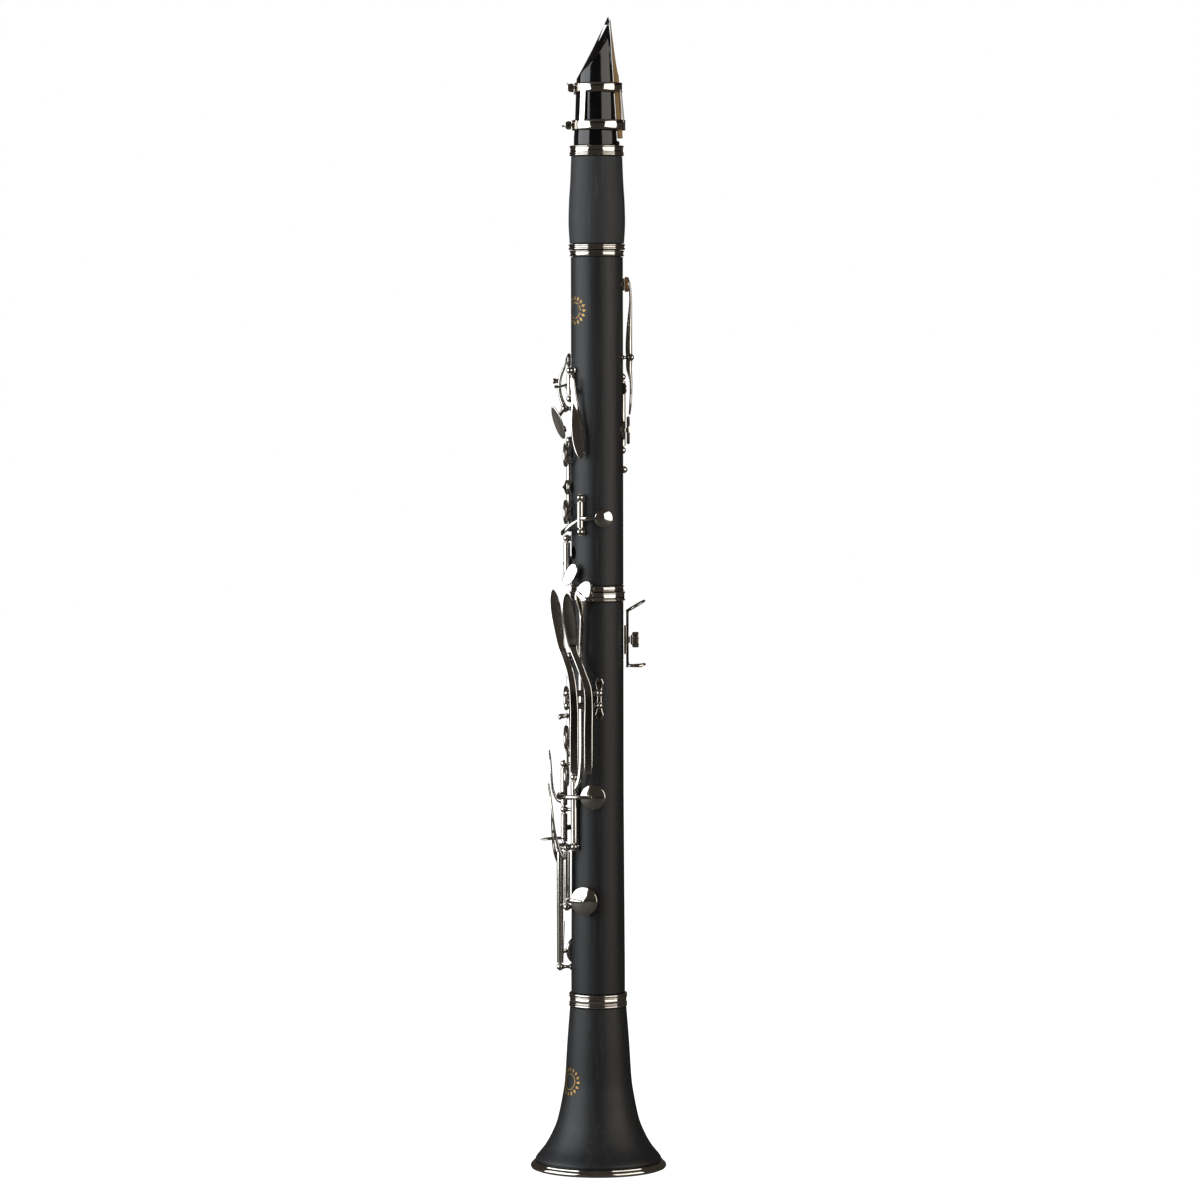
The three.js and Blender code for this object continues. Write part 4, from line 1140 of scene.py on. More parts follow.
class BuildTrillKeys(bpy.types.Operator):
    """The four side trill keys, two on each pivot"""
    bl_idname = "clarinet.trill_keys"
    bl_label = "Side trill keys"

    def execute(self, context):
        pairs = [(-66, 420, (462, 474)), (-116, 405, (486, 498))]
        spread = 3.2
        for pair, (degrees, pivot_z, cups) in enumerate(pairs):
            middle = around(degrees, 18.6, pivot_z)
            across = sideways(degrees)
            heads = [middle - across * 8, middle + across * 8]
            posts_piece(f"trill_posts_{pair + 1}", f"trill_pivot_{pair + 1}", heads)
            for side, cup_z in enumerate(cups):
                number = 2 * pair + side + 1
                offset = -spread if side else spread
                seat = middle + across * offset
                self.trill_key(number, seat, across, pivot_z, cup_z)
        return {"FINISHED"}

    def trill_key(self, number, seat, across, pivot_z, cup_z):
        bearing = math.degrees(math.atan2(-seat.y, -seat.x))
        out = math.hypot(seat.x, seat.y)
        bm = bmesh.new()
        tube(bm, seat - across * 2.6, seat + across * 2.6, sizes().hinge)
        cup_at(bm, (bearing, cup_z), PAD_LIFT, 3.9, 3.0)

        def at(radius, z):
            return around(bearing, radius, z)
        touch_blade(bm, [
            (at(21.0, 347.5), 1.2, 0.5), (at(21.1, 349.5), 2.5, 0.7), (at(21.2, 360), 2.9, 0.75),
            (at(20.9, 369), 2.5, 0.8), (at(20.3, 376), 1.5, 0.95), (at(20.2, 390), 1.25, 1.05),
            (at(out + 0.6, pivot_z - 14), 1.3, 1.2), (at(out + 0.1, pivot_z), 1.9, 1.8),
            (at(out + 0.1, pivot_z + 14), 1.3, 1.2), (at(19.1, cup_z - 16), 1.25, 1.05),
            (at(18.6, cup_z - 4), 1.3, 0.9), (at(18.0, cup_z), 0.7, 0.6)], outward(bearing), 2.3, 0.06, 72)
        padded_key(f"trill_key_{number}", bm, (bearing, cup_z), PAD_LIFT, 3.9)


class BuildThroatKeys(bpy.types.Operator):
    """The A key and the G sharp key at the front of the upper joint"""
    bl_idname = "clarinet.throat_keys"
    bl_label = "Throat keys"

    def execute(self, context):
        self.a_key()
        self.g_sharp_key()
        return {"FINISHED"}

    def a_key(self):
        bm = hung_key("a_key_posts", "a_key_pivot", "a_key_press")
        cup_at(bm, PADS["a"], PAD_LIFT, 3.9, 3.0)
        front = Vector((-1, 0, 0))
        touch_blade(bm, [
            ((-18.0, 0.3, 468.0), 0.8, 0.6), ((-18.9, 0.2, 464.5), 1.3, 0.8),
            ((-21.2, 0, 458.5), 1.6, 1.0), ((-21.8, 0, 452), 1.7, 1.1),
            ((-20.8, 0, 446.5), 1.7, 1.2), ((-19.2, 0, 441.5), 2.2, 1.5),
            ((-20.4, -0.1, 438.9), 1.9, 1.2), ((-22.2, -0.3, 436), 1.6, 1.0)], front, 2.4, 0.1, 50)
        spoon = Vector((-0.72, -0.62, -0.25)).normalized()
        touch_blade(bm, [
            ((-25.7, -1.0, 441.9), 0.6, 0.4), ((-25.1, -1.0, 440.3), 2.0, 0.7),
            ((-23.9, -0.8, 436.8), 3.3, 0.8), ((-22.4, -0.6, 432.4), 3.8, 0.8),
            ((-20.8, -0.3, 427.6), 3.2, 0.8), ((-19.7, -0.1, 424.6), 2.0, 0.7),
            ((-19.2, 0, 423.2), 0.7, 0.4)], spoon, 2.5, 0.14, 44)
        screw_at = 456.5
        turn(bm, [(0, 0), (1.5, 0), (1.5, 0.6), (1.2, 0.9), (1.2, 2.6), (1.55, 3.0), (1.55, 4.2), (1.3, 4.5),
                  (0.4, 4.5), (0.35, 4.0), (0, 4.0)], 26, Vector((-21.0, 0, screw_at)), front)
        padded_key("a_key", bm, PADS["a"], PAD_LIFT, 3.9)
        bumper("a_key_cork", Vector((-20.4, 0.4, 428.4)), Vector((1, 0.3, 0.3)), 1.9, 2.2, "a_key")

    def g_sharp_key(self):
        bm = hung_key("g_sharp_posts", "g_sharp_pivot", "g_sharp_key_press")
        cup_at(bm, PADS["g_sharp"], PAD_LIFT, 3.9, 2.4)
        cup_arm(bm, sweep(30, 0, 18.2, 452, 18.1, 454.3), 1.3, 0.8, 0.9)
        arm(bm, sweep(30, 48, 18.2, 451, 19.2, 450), 1.3)
        centre = around(52, 19.4, 436)
        along = Vector((0.11, -0.06, -1)).normalized()
        widths = [(-22.5, 0.8, 0.6), (-21, 1.5, 0.8), (-14, 1.65, 0.9), (-7, 2.2, 0.9), (3.5, 3.5, 0.85),
                  (11, 3.8, 0.85), (17, 3.4, 0.85), (21.5, 2.3, 0.75), (23.6, 1.1, 0.6), (24.2, 0.5, 0.4)]

        def face(point):
            return outward(lerp(78, 58, min(1.0, max(0.0, (point.z - 436) / 16))))
        touch_blade(bm, [(centre + along * reach, wide, thick) for reach, wide, thick in widths],
                    face, 2.6, 0.2, 60)
        arm(bm, [around(4, 18.2, 454.2), (-21, -1.2, 453.4), (-24.6, -1.2, 453.2)], 0.9, 0.6)
        padded_key("g_sharp_key", bm, PADS["g_sharp"], PAD_LIFT, 3.9)


class BuildLeftHandKeys(bpy.types.Operator):
    """The left hand ring key, the sliver key beside it and the C sharp key below it"""
    bl_idname = "clarinet.left_hand_keys"
    bl_label = "Left hand keys"

    def execute(self, context):
        self.ring_key()
        self.sliver_key()
        self.c_sharp_key()
        return {"FINISHED"}

    def ring_key(self):
        bm = hung_key("left_ring_posts", "left_ring_pivot", "left_ring_key_press")
        height = 17.4
        for name in ("left1", "left2"):
            hole = HOLES[name]
            ring_key_at(bm, hole, 7, height)
            arm(bm, sweep(-28, hole[0] - 20.5, 18.3, hole[1], height + 0.9), sizes().arm)
        cup_at(bm, PADS["left_ring"], PAD_LIFT + 1.4, 4.3, 3.0)
        cup_arm(bm, sweep(-28, 6, 18.4, PADS["left_ring"][1], 19.4), 1.5, 0.8)
        padded_key("left_ring_key", bm, PADS["left_ring"], PAD_LIFT + 1.4, 4.3)

    def sliver_key(self):
        bm = hung_key("left_sliver_posts", "left_sliver_pivot", "left_sliver_key_press")
        place = PADS["left_sliver"]
        cup_at(bm, place, PAD_LIFT, 5.4, 3.0)
        cup_arm(bm, sweep(57, 102, 18.6, place[1], 18.5), 1.6, 0.7, 1.0)
        touch_blade(bm, [(around(57, 18.4, 377), 1.2, 1.1), (around(44, 20.2, 374.2), 1.15, 0.9),
                         (around(28, 21.2, 370.6), 1.4, 0.75), (around(14, 21.0, 369), 1.5, 0.7),
                         (around(11, 20.8, 369), 0.6, 0.5)], radial, 2.3, 0.05, 40)
        padded_key("left_sliver_key", bm, place, PAD_LIFT, 5.4)

    def c_sharp_key(self):
        bm = hung_key("c_sharp_posts", "c_sharp_pivot", "c_sharp_key_press")
        cup_at(bm, PADS["c_sharp"], PAD_LIFT, 4.2, 4.4, 0.4)
        cup_arm(bm, [around(0, 17.8, 351), around(-12, 19.4, 351), around(-21, 20.3, 351)], 1.4, 0.8, 1.0)
        arm(bm, [around(0, 17.8, 343.5), around(16, 19.2, 343.8), around(32, 19.4, 344.5)], 1.3)
        centre = around(38, 20, 345.4)
        along = Vector((0.5, -0.2, 0.9)).normalized()
        touch_blade(bm, [(centre + along * reach, wide, thick) for reach, wide, thick in (
            (-6.5, 0.8, 0.5), (-5.4, 3.0, 0.75), (-1.5, 4.3, 0.85), (2.5, 4.2, 0.85), (5.4, 2.9, 0.75),
            (6.5, 0.9, 0.5))], outward(38), 2.6, 0.1, 40)
        padded_key("c_sharp_key", bm, PADS["c_sharp"], PAD_LIFT, 4.2)


# ---------- operators: keys of the lower joint ----------
class BuildLevers(bpy.types.Operator):
    """The left hand's three long levers and their pivots"""
    bl_idname = "clarinet.levers"
    bl_label = "Left hand levers"

    def execute(self, context):
        y, strap = -20, -23.4
        self.pivots(y)
        self.lever("f_lever", y, strap, 270.2, -13.6, 232, [(-20.6, -17.6, 303), (-15.4, -22.6, 288)],
                   (-23.2, -14.4, 319.6), 3.4)
        self.lever("e_lever", y, strap, 277.4, -5.4, 231, [(-13.6, -19.6, 302), (-8.6, -22.6, 289)],
                   (-15.6, -20.4, 317.5), 4.1)
        self.f_sharp_lever()
        return {"FINISHED"}

    def pivots(self, y):
        bm = bmesh.new()
        for z in (277.4, 270.2):
            for x, degrees in ((-17.2, 35), (1, 94)):
                foot = around(degrees, BODY_RADIUS + 0.15, z)
                ball_post(bm, Vector((x, y, z)), foot, sizes().ball)
            tube(bm, Vector((-17.2, y, z)), Vector((1, y, z)), 0.9, 14, 0.1)
            for x, way in ((-17.2, -1), (1, 1)):
                screw_head(bm, Vector((x + way * (sizes().ball - 0.35), y, z)), Vector((way, 0, 0)), 1.05,
                    0.32)
        plate_y = -BODY_RADIUS - 0.65
        loft(bm, [((1, plate_y, z), wide, 0.4) for z, wide in (
            (262.0, 0.7), (262.5, 1.6), (264.8, 2.4), (267.4, 1.6), (273.8, 1.2), (280.2, 1.6), (282.8, 2.4),
            (285.1, 1.6), (285.6, 0.7))], Vector((0, -1, 0)), 60, 20, 3)
        for z in (264.8, 282.8):
            screw_head(bm, Vector((1, plate_y - 0.3, z)), Vector((0, -1, 0)), 1.8, 0.7)
        finished("lever_posts", bm, finish_of("nickel_plate"), "body", ["lever_pivots"], 38)

    def lever(self, name, y, strap, z, x, low, neck, touch, width):
        bm = bmesh.new()
        play = sizes().ball + 0.3
        tube(bm, Vector((-17.2 + play, y, z)), Vector((1 - play, y, z)), sizes().hinge)
        arm(bm, [(x, y - 0.5, z), (x, (y + strap) / 2, z), (x, strap, z)], 1.2, 1.2)
        neck_top, neck_low = (Vector(point) for point in neck)
        touch = Vector(touch)
        along = (touch - neck_top).normalized()

        def face(point):
            """The touches face forward, and the long bars face the near side."""
            share = min(1.0, max(0.0, (point.z - 286) / 18))
            return Vector((-share * 0.22, -1, 0)).normalized()
        touch_blade(bm, [
            ((x, strap + 0.6, low), 1.6, 0.6), ((x, strap + 0.5, low + 0.8), 2.1, 0.8),
            ((x, strap + 0.3, low + 6), 2.3, 0.8),
            ((x, strap, (z + low) / 2), 2.4, 0.8), ((x, strap, z), 2.3, 0.9),
            (neck_low, 2.1, 1.0), (neck_top, 2.2, 1.0), (touch - along * 8, width * 0.86, 0.85),
            (touch + along * 3, width, 0.85), (touch + along * 11, width * 0.85, 0.8),
            (touch + along * 15.6, width * 0.5, 0.65), (touch + along * 17.4, 0.6, 0.4)], face, 3.0, 0.14,
                100)
        key_piece(name, bm)

    def f_sharp_lever(self):
        bm = hung_key("f_sharp_lever_posts", "f_sharp_lever_pivot", "f_sharp_lever_press")
        arm(bm, [around(40, 18.2, 219.6), around(51, 20.4, 221.6), around(59, 20, 230), around(60, 18.9,
            246),
                 around(59, 18.7, 273), around(59, 18.7, 300), around(62, 19.0, 322)], 1.4, 0.95, steps=70)
        along = Vector((0.4, 0, 0.9)).normalized()
        centre = around(66, 19.6, 334.6)
        touch_blade(bm, [(around(61, 18.9, 316), 1.3, 0.9), (around(62, 19.1, 324), 1.9, 0.9),
                         (centre - along * 3.5, 4.0, 0.8), (centre, 4.9, 0.8), (centre + along * 3.5, 4.3,
                             0.8),
                         (centre + along * 6.6, 2.6, 0.7), (centre + along * 7.4, 0.8, 0.5)],
                    outward(64), 2.5, 0.08, 44)
        key_piece("f_sharp_lever", bm)


class BuildRightHandKeys(bpy.types.Operator):
    """The right hand ring key and the sliver key on the far side"""
    bl_idname = "clarinet.right_hand_keys"
    bl_label = "Right hand rings"

    def execute(self, context):
        bm = hung_key("right_ring_posts", "right_ring_pivot", "right_ring_key_press")
        height = 17.4
        for name in ("right1", "right2", "right3"):
            ring_key_at(bm, HOLES[name], 7, height)
        for name in ("right1", "right2"):
            hole = HOLES[name]
            arm(bm, sweep(-28, hole[0] - 20.5, 18.3, hole[1], height + 0.9), sizes().arm)
        arm(bm, [around(-12, 18.3, 246.5), around(-13, 18.3, 240), around(-12, 18.3, 233)], 1.2, 1.0)
        cup_at(bm, PADS["right_ring"], PAD_LIFT + 1.4, 4.2, 3.0)
        cup_arm(bm, sweep(-28, -10, 18.4, PADS["right_ring"][1], 19.4), 1.4, 0.8)
        padded_key("right_ring_key", bm, PADS["right_ring"], PAD_LIFT + 1.4, 4.2)
        bm = hung_key("right_sliver_posts", "right_sliver_pivot", "right_sliver_key_press")
        place = PADS["right_sliver"]
        cup_at(bm, place, PAD_LIFT, 4.6, 3.0)
        cup_arm(bm, sweep(-52, -77, 18.4, 262, 18.5), 1.4, 0.8, 1.0)
        touch_blade(bm, [(around(-52, 18.4, 262), 1.3, 1.1), (around(-40, 22.4, 262), 1.2, 0.9),
                         (around(-20, 23, 262), 1.5, 0.8), (around(-6, 22, 262), 1.5, 0.8),
                         (around(-4, 21.8, 262), 0.7, 0.6)], radial, 2.3, 0.05, 40)
        padded_key("right_sliver_key", bm, place, PAD_LIFT, 4.6)
        return {"FINISHED"}


class BuildLowKeys(bpy.types.Operator):
    """The four large pads of the lower joint and the right little finger's touches"""
    bl_idname = "clarinet.low_keys"
    bl_label = "Little finger keys"

    def execute(self, context):
        e_heads = [Vector((-22, -2, 187)), Vector((-22, -2, 117.2))]
        f_heads = [Vector((-18, -7, 187)), Vector((-18, -7, 152.6))]
        far_heads = [Vector((-19.6, 9, 234.4)), Vector((-19.6, 9, 207.8)), Vector((-19.6, 9, 186.6))]
        self.low_posts(e_heads, f_heads)
        posts_piece("far_posts", "far_pivot", far_heads)
        lift = PAD_LIFT + 2.6
        self.e_key(e_heads, lift)
        self.f_key(f_heads, lift)
        self.a_flat_key(far_heads[1:])
        self.f_sharp_key(far_heads[:2])
        needle_spring("low_needle_spring", Vector((-19.4, -3.6, 144)), Vector((-20.2, -3.4, 119.6)))
        return {"FINISHED"}

    def low_posts(self, e_heads, f_heads):
        bm = bmesh.new()
        for heads in (e_heads, f_heads):
            for head in heads:
                reach = math.hypot(head.x, head.y)
                surface = surface_radius(head.z)
                ball_post(bm, head, Vector((head.x * surface / reach, head.y * surface / reach, head.z)),
                          sizes().ball)
            tube(bm, heads[0], heads[1], 0.9, 14, 0.1)
            for head, way in ((heads[0], 1), (heads[1], -1)):
                screw_head(bm, head + Vector((0, 0, way * (sizes().ball - 0.35))), Vector((0, 0, way)), 1.05,
                           0.32)
        tube(bm, e_heads[0], f_heads[0], 1.0, 14, 0.1)
        finished("low_key_posts", bm, finish_of("nickel_plate"), "body", ["low_key_pivots"], 38)

    def e_key(self, heads, lift):
        bm = bmesh.new()
        hinge_between(bm, *heads)
        place = PADS["e"]
        cup_at(bm, place, lift, 8.2, 3.0)
        cup_arm(bm, [(-22, -2, place[1]), around(-15, 21.8, place[1]), around(-32, 21.6, place[1]),
                     around(-48, 21.0, place[1])], 1.9, 0.8)
        front = Vector((-1, -0.1, 0)).normalized()
        touch_blade(bm, [
            ((-22, -2, 178), 1.2, 1.1), ((-23.6, 4, 179), 1.3, 1.0),
            ((-25.2, 11, 183), 1.6, 0.9), ((-26.1, 14.4, 188), 3.2, 0.8),
            ((-26.5, 15, 195), 4.4, 0.8), ((-26.7, 15.2, 201), 3.9, 0.75),
            ((-26.7, 15.3, 205.3), 2.0, 0.6), ((-26.7, 15.3, 205.9), 0.6, 0.4)],
            front, 2.5, 0.12, 56)
        padded_key("e_key", bm, place, lift, 8.2)

    def f_key(self, heads, lift):
        bm = bmesh.new()
        hinge_between(bm, *heads)
        place = PADS["f"]
        cup_at(bm, place, lift, 8.4, 3.0)
        cup_arm(bm, [(-18, -7, place[1] - 0.6), around(40, 20.8, place[1]), around(54, 21.0, place[1]),
                     around(63, 20.9, place[1])], 1.9, 0.8)
        front = Vector((-1, 0, 0))
        touch_blade(bm, [
            ((-18, -7, 181), 1.3, 1.2), ((-21.2, -9.2, 182.8), 1.2, 1.0),
            ((-24, -10.4, 192), 1.3, 0.9), ((-25.2, -10.6, 198), 2.6, 0.8),
            ((-26.2, -10.6, 206), 3.9, 0.8), ((-27.4, -10.6, 216), 3.5, 0.8),
            ((-28.3, -10.6, 223.2), 1.9, 0.6), ((-28.5, -10.6, 224.6), 0.6, 0.4)],
            front, 2.5, 0.12, 56)
        padded_key("f_key", bm, place, lift, 8.4)

    def a_flat_key(self, heads):
        bm = bmesh.new()
        hinge_between(bm, *heads)
        place = PADS["a_flat"]
        cup_at(bm, place, PAD_LIFT, 7.6, 3.0)
        cup_arm(bm, [(-19.6, 9, 197), around(-40, 20.6, 197), around(-55, 19.8, 197),
                     around(-70, 18.8, 197)], 1.8, 0.8)
        touch_blade(bm, [
            ((-18.8, 7.6, 191.3), 2.6, 0.7), ((-21, 6.6, 191.4), 4.2, 0.8),
            ((-26, 6.2, 191.2), 4.6, 0.8), ((-30, 6.0, 190.9), 4.0, 0.75),
            ((-32.2, 5.8, 190.7), 2.0, 0.6), ((-32.5, 5.8, 190.7), 0.7, 0.4)],
            Vector((0, 0, 1)), 2.5, 0.08, 44)
        padded_key("a_flat_key", bm, place, PAD_LIFT, 7.6)

    def f_sharp_key(self, heads):
        bm = bmesh.new()
        hinge_between(bm, *heads)
        place = PADS["f_sharp"]
        cup_at(bm, place, PAD_LIFT, 7.4, 3.0)
        cup_arm(bm, [(-19.6, 9, 216.5), around(-6, 22.8, 216.5), around(20, 22.7, 216.6),
                     around(42, 22.1, 216.8), around(60, 20.6, 217), around(78, 18.9, 217)], 1.9, 0.9)
        touch_blade(bm, [
            ((-19.6, 9, 212), 1.2, 1.1), ((-23.4, 11.6, 213.2), 1.2, 0.95),
            ((-26.0, 13, 218), 2.2, 0.85), ((-26.8, 13.4, 223), 3.7, 0.8),
            ((-27.4, 13.4, 231), 3.9, 0.8), ((-27.9, 13.4, 238), 3.0, 0.75),
            ((-28.2, 13.4, 241.4), 1.2, 0.5), ((-28.2, 13.4, 241.9), 0.5, 0.4)],
            Vector((-1, 0, 0)), 2.5, 0.12, 56)
        padded_key("f_sharp_key", bm, place, PAD_LIFT, 7.4)


# ---------- operators: thumb rest, ornaments ----------
class BuildThumbRest(bpy.types.Operator):
    """The screwed base, the sliding plate with its hook and strap ring, and the knurled screw"""
    bl_idname = "clarinet.thumb_rest"
    bl_label = "Thumb rest"

    def execute(self, context):
        self.base()
        self.slide()
        self.thumbscrew()
        return {"FINISHED"}

    def base(self):
        nickel = finish_of("nickel_plate")
        low, high = mm_box("thumb_rest_base")
        bm = bmesh.new()
        middle = (low.z + high.z) / 2
        loft(bm, [((low.x + 0.7, 0, z), wide, 0.7) for z, wide in (
            (low.z, 4.6), (low.z + 0.8, 5.3), (middle, 5.5), (high.z - 0.8, 5.3), (high.z, 4.6))],
            Vector((1, 0, 0)), 24, 28, 5)
        turn(bm, [(0, 0), (1.9, 0), (1.9, high.x - low.x - 0.5), (1.7, high.x - low.x - 0.3),
                  (0, high.x - low.x - 0.3)], 24, Vector((low.x + 0.3, 0, middle)), Vector((1, 0, 0)))
        finished("thumb_rest_base_plate", bm, nickel, "body", ["thumb_rest_base"])

    def slide(self):
        nickel = finish_of("nickel_plate")
        inner = mm_box("thumb_rest_slide")[0].x
        plate_low, plate_high = 291.7, 323.4
        x = inner + 0.75
        bm = bmesh.new()
        loft(bm, [((x, 0, z), wide, 0.75) for z, wide in (
            (plate_low, 4.2), (plate_low + 0.8, 4.5), (307, 4.5), (plate_high - 0.8, 4.5), (plate_high,
                4.2))],
            Vector((1, 0, 0)), 30, 28, 6)
        piece = finished("thumb_rest_slide_plate", bm, nickel, "thumb_rest", ["thumb_rest_slide"])
        cutter = bmesh.new()
        loft(cutter, [((x, 0, z), wide, 3) for z, wide in (
            (299.8, 1.0), (300.6, 1.9), (302, 2.2), (312, 2.2), (313.4, 1.9), (314.2, 1.0))],
            Vector((1, 0, 0)), 24, 16, 6)
        cut_away(piece, cutter, 35)
        bm = bmesh.new()
        hook = plate_low + 0.4
        loft(bm, [((px, 0, pz), wide, thick) for px, pz, wide, thick in (
            (x + 0.3, hook + 2.6, 4.4, 0.5), (x + 0.5, hook + 0.5, 4.7, 0.75), (x + 2.2, hook - 0.1, 5.4,
                0.75),
            (x + 5.6, hook, 6.3, 0.75), (x + 8.6, hook + 0.35, 5.4, 0.7), (x + 10.1, hook + 0.8, 3.6, 0.6),
            (x + 10.45, hook + 1.0, 1.6, 0.4))], self.hook_face, 34, 24, 4)
        finished("thumb_rest_hook", bm, nickel, "thumb_rest", ())
        bm = bmesh.new()
        axis = Vector((0.7, 0, -1.2)).normalized()
        centre = Vector((inner + 5.5, 0, 326.6))
        mid, half = 5.5, 1.0
        section = [(mid + half * math.cos(2 * math.pi * k / 16), 0.7 * math.sin(2 * math.pi * k / 16))
                   for k in range(16)]
        turn(bm, section, 56, centre, axis, closed=True)
        loft(bm, [((x, 0, 321.5), 3.6, 0.7), ((x + 0.3, 0, 324), 3.0, 0.7),
                  (centre + Vector((-mid * 0.86, 0, -mid * 0.5)), 2.2, 0.8)], Vector((1, 0, 0)), 14, 16, 3)
        finished("strap_ring_loop", bm, nickel, "thumb_rest", ())
        bumper("thumb_rest_cork", Vector((x + 5.2, 0, hook - 0.9)), Vector((0, 0, 1)), 3.6, 0.2,
            "thumb_rest")

    @staticmethod
    def hook_face(point):
        """The plate turns from upright into the flat hook."""
        share = min(1.0, max(0.0, (point.x - 18.0) / 2.4))
        return Vector((1 - share, 0, -share)).normalized()

    def thumbscrew(self):
        low, high = mm_box("thumb_rest_screw")
        middle = Vector((low.x, 0, (low.z + high.z) / 2))
        radius, depth = high.y, high.x - low.x
        bm = bmesh.new()
        turn(bm, [(0, 0), (radius * 0.62, 0), (radius * 0.62, 0.8), (radius * 0.9, 1.0), (radius, 1.3),
                  (radius, depth - 0.5), (radius * 0.9, depth - 0.1), (radius * 0.5, depth),
                  (0, depth)], 72, middle, Vector((1, 0, 0)))
        for vert in bm.verts:
            out = Vector((0, vert.co.y, vert.co.z - middle.z))
            if out.length > radius * 0.97:
                turnings = math.atan2(out.z, out.y) * 36 / math.pi
                if round(turnings) % 2:
                    vert.co -= out.normalized() * 0.3
        finished("thumb_rest_knurled_screw", bm, finish_of("nickel_plate"), "thumb_rest_thumbscrew",
                 ["thumb_rest_screw"], 20)


class BuildOrnaments(bpy.types.Operator):
    """Plain gold rosettes on the upper joint and on the bell"""
    bl_idname = "clarinet.ornaments"
    bl_label = "Ornaments"

    def execute(self, context):
        self.rosette("upper_joint_rosette", 33, 497, lambda z: BODY_RADIUS, 8.6)
        self.rosette("bell_rosette", 33, 51.5, self.bell_radius, 8.6)
        return {"FINISHED"}

    @staticmethod
    def bell_radius(z):
        points = [(43.2, 20.6), (52.7, 19.3), (73.3, 18.0)]
        z = min(max(z, 43.2), 73.2)
        for (low, first), (high, second) in zip(points, points[1:]):
            if z <= high:
                return lerp(first, second, (z - low) / (high - low)) + 0.14
        return points[-1][1]

    def rosette(self, name, degrees, height, radius_at, size):
        """A ring of small lozenges around a plain disc ring, laid on the wood."""
        bm = bmesh.new()
        count = 16

        def laid(u, v, proud):
            z = height + v
            radius = radius_at(z) + proud
            return around(degrees + math.degrees(u / radius), radius, z)
        for petal in range(count):
            a = 2 * math.pi * petal / count
            outline = []
            for reach, side in ((0.66, 0), (0.83, 0.1), (1.0, 0), (0.83, -0.1)):
                r = size * reach
                turned = a + side / reach
                outline.append((r * math.cos(turned), r * math.sin(turned)))
            self.facet(bm, outline, laid)
        for step in range(48):
            a, b = (2 * math.pi * k / 48 for k in (step, step + 1))
            outline = [(size * reach * math.cos(t), size * reach * math.sin(t))
                       for reach, t in ((0.5, a), (0.56, a), (0.56, b), (0.5, b))]
            self.facet(bm, outline, laid)
        finished(name, bm, finish_of("gold_leaf"), "body", (), 60)

    @staticmethod
    def facet(bm, outline, laid):
        top = [bm.verts.new(laid(u, v, 0.06)) for u, v in outline]
        under = [bm.verts.new(laid(u, v, -0.1)) for u, v in outline]
        bm.faces.new(top)
        bm.faces.new(list(reversed(under)))
        for k in range(len(outline)):
            after = (k + 1) % len(outline)
            bm.faces.new((top[k], under[k], under[after], top[after]))


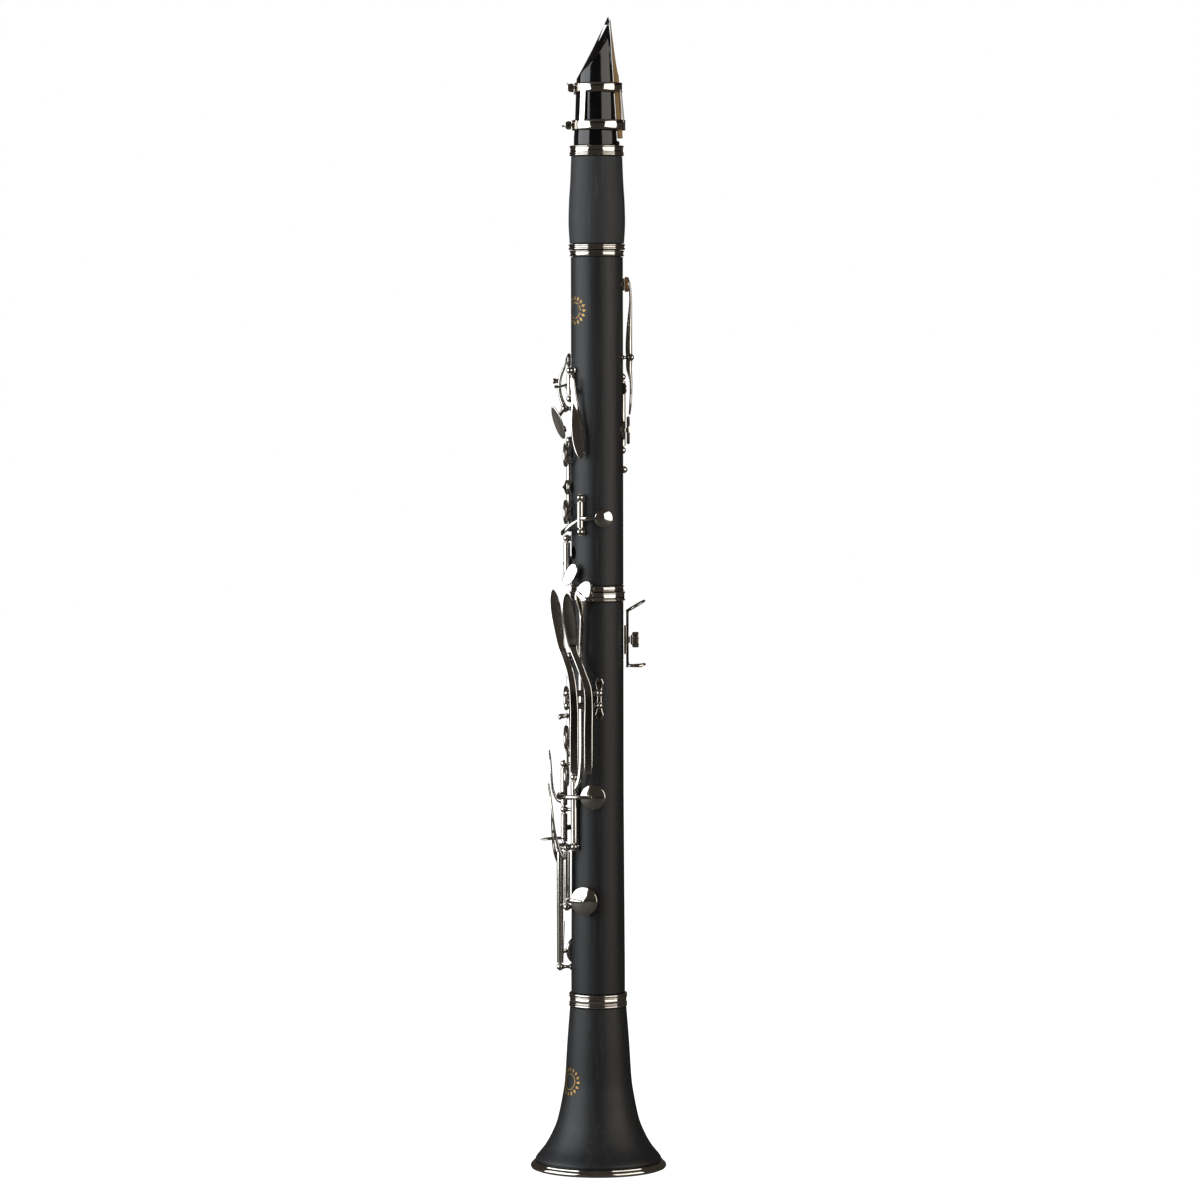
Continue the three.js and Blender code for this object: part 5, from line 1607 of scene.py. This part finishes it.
# ---------- operator: the studio ----------
class BuildStage(bpy.types.Operator):
    """Pale floor, world, tall soft lights and the camera"""
    bl_idname = "clarinet.stage"
    bl_label = "Studio"

    def execute(self, context):
        light = context.scene.clarinet_light
        self.floor()
        self.world(context.scene)
        self.softbox("left_softbox", -72, 1.5, 1.9, 1.5, light.left_power, (0.93, 0.97, 1.0))
        self.softbox("right_softbox", 56, 1.6, 1.7, 1.4, light.right_power, (1.0, 0.96, 0.90))
        self.camera(context.scene, light)
        return {"FINISHED"}

    def floor(self):
        bm = bmesh.new()
        steps = 96
        turn(bm, [(0, 0), (0.4, 0), (1.5, 0), (6.0, 0)], steps)
        mesh = bpy.data.meshes.new("studio_floor")
        bm.to_mesh(mesh)
        bm.free()
        floor = bpy.data.objects.new("studio_floor", mesh)
        bpy.context.scene.collection.objects.link(floor)
        mesh.materials.append(finish_of("studio_paper"))
        floor.location = (0, 0, -0.0004)

    def world(self, scene):
        """White to the camera, dim and warm to everything that reflects it."""
        world = bpy.data.worlds.new("studio_world")
        scene.world = world
        world.use_nodes = True
        tree = world.node_tree
        out = tree.nodes["World Output"]
        seen = tree.nodes["Background"]
        seen.inputs["Color"].default_value = (1, 1, 1, 1)
        lit = tree.nodes.new("ShaderNodeBackground")
        lit.inputs["Color"].default_value = (0.20, 0.17, 0.145, 1)
        lit.inputs["Strength"].default_value = 0.22
        path = tree.nodes.new("ShaderNodeLightPath")
        mix = tree.nodes.new("ShaderNodeMixShader")
        tree.links.new(path.outputs["Is Camera Ray"], mix.inputs["Fac"])
        tree.links.new(lit.outputs["Background"], mix.inputs[1])
        tree.links.new(seen.outputs["Background"], mix.inputs[2])
        tree.links.new(mix.outputs["Shader"], out.inputs["Surface"])

    def softbox(self, name, degrees, distance, width, height, power, tint):
        """A tall area light at an angle from the camera's side, facing the bore."""
        data = bpy.data.lights.new(name, "AREA")
        data.shape = "RECTANGLE"
        data.size, data.size_y = width, height
        data.energy = power
        data.color = tint
        lamp = bpy.data.objects.new(name, data)
        bpy.context.scene.collection.objects.link(lamp)
        angle = math.radians(degrees)
        place = Vector((distance * math.sin(angle), -distance * math.cos(angle), 0.62))
        lamp.matrix_world = Matrix.Translation(place) @ (
            (place - Vector((0, 0, 0.33))).to_track_quat("Z", "Y").to_matrix().to_4x4())

    def camera(self, scene, light):
        data = bpy.data.cameras.new("studio_camera")
        data.sensor_width = 36
        picture_middle = 0.330
        drop = light.height - picture_middle
        data.lens = 36 * math.hypot(light.distance, drop) / light.frame_width
        data.clip_end = 20
        camera = bpy.data.objects.new("studio_camera", data)
        scene.collection.objects.link(camera)
        camera.location = (0.0017, -light.distance, light.height)
        lean = math.radians(0.10)
        camera.rotation_euler = (math.pi / 2 - math.atan2(drop, light.distance), lean, 0)
        scene.camera = camera


# ---------- the add-on ----------
OPERATORS = (
    BuildStage, BuildBell, BuildJoints, BuildBarrel, BuildTenonCorks, BuildMouthpiece, BuildReed,
        BuildLigature,
    BuildRegisterKey, BuildThumbRing, BuildTrillKeys, BuildThroatKeys, BuildLeftHandKeys, BuildLevers,
    BuildRightHandKeys, BuildLowKeys, BuildThumbRest, BuildOrnaments,
)


class ClarinetPanel(bpy.types.Panel):
    """Lists the settings and the pieces of the clarinet"""
    bl_idname = "VIEW3D_PT_clarinet"
    bl_label = "Clarinet"
    bl_space_type = "VIEW_3D"
    bl_region_type = "UI"
    bl_category = "Clarinet"

    def draw(self, context):
        for settings in (context.scene.clarinet_sizes, context.scene.clarinet_colours,
                         context.scene.clarinet_light):
            box = self.layout.box()
            for name in settings.__annotations__:
                box.prop(settings, name)
        for operator in OPERATORS:
            self.layout.operator(operator.bl_idname)


CLASSES = (ClarinetSizes, ClarinetColours, ClarinetLight, *OPERATORS, ClarinetPanel)


def register():
    for cls in CLASSES:
        bpy.utils.register_class(cls)
    bpy.types.Scene.clarinet_sizes = PointerProperty(type=ClarinetSizes)
    bpy.types.Scene.clarinet_colours = PointerProperty(type=ClarinetColours)
    bpy.types.Scene.clarinet_light = PointerProperty(type=ClarinetLight)


def unregister():
    del bpy.types.Scene.clarinet_sizes
    del bpy.types.Scene.clarinet_colours
    del bpy.types.Scene.clarinet_light
    for cls in reversed(CLASSES):
        bpy.utils.unregister_class(cls)


def main():
    register()
    bpy.context.scene.view_settings.view_transform = "Standard"
    for operator in OPERATORS:
        family, action = operator.bl_idname.split(".")
        getattr(getattr(bpy.ops, family), action)()


if __name__ == "__main__":
    main()
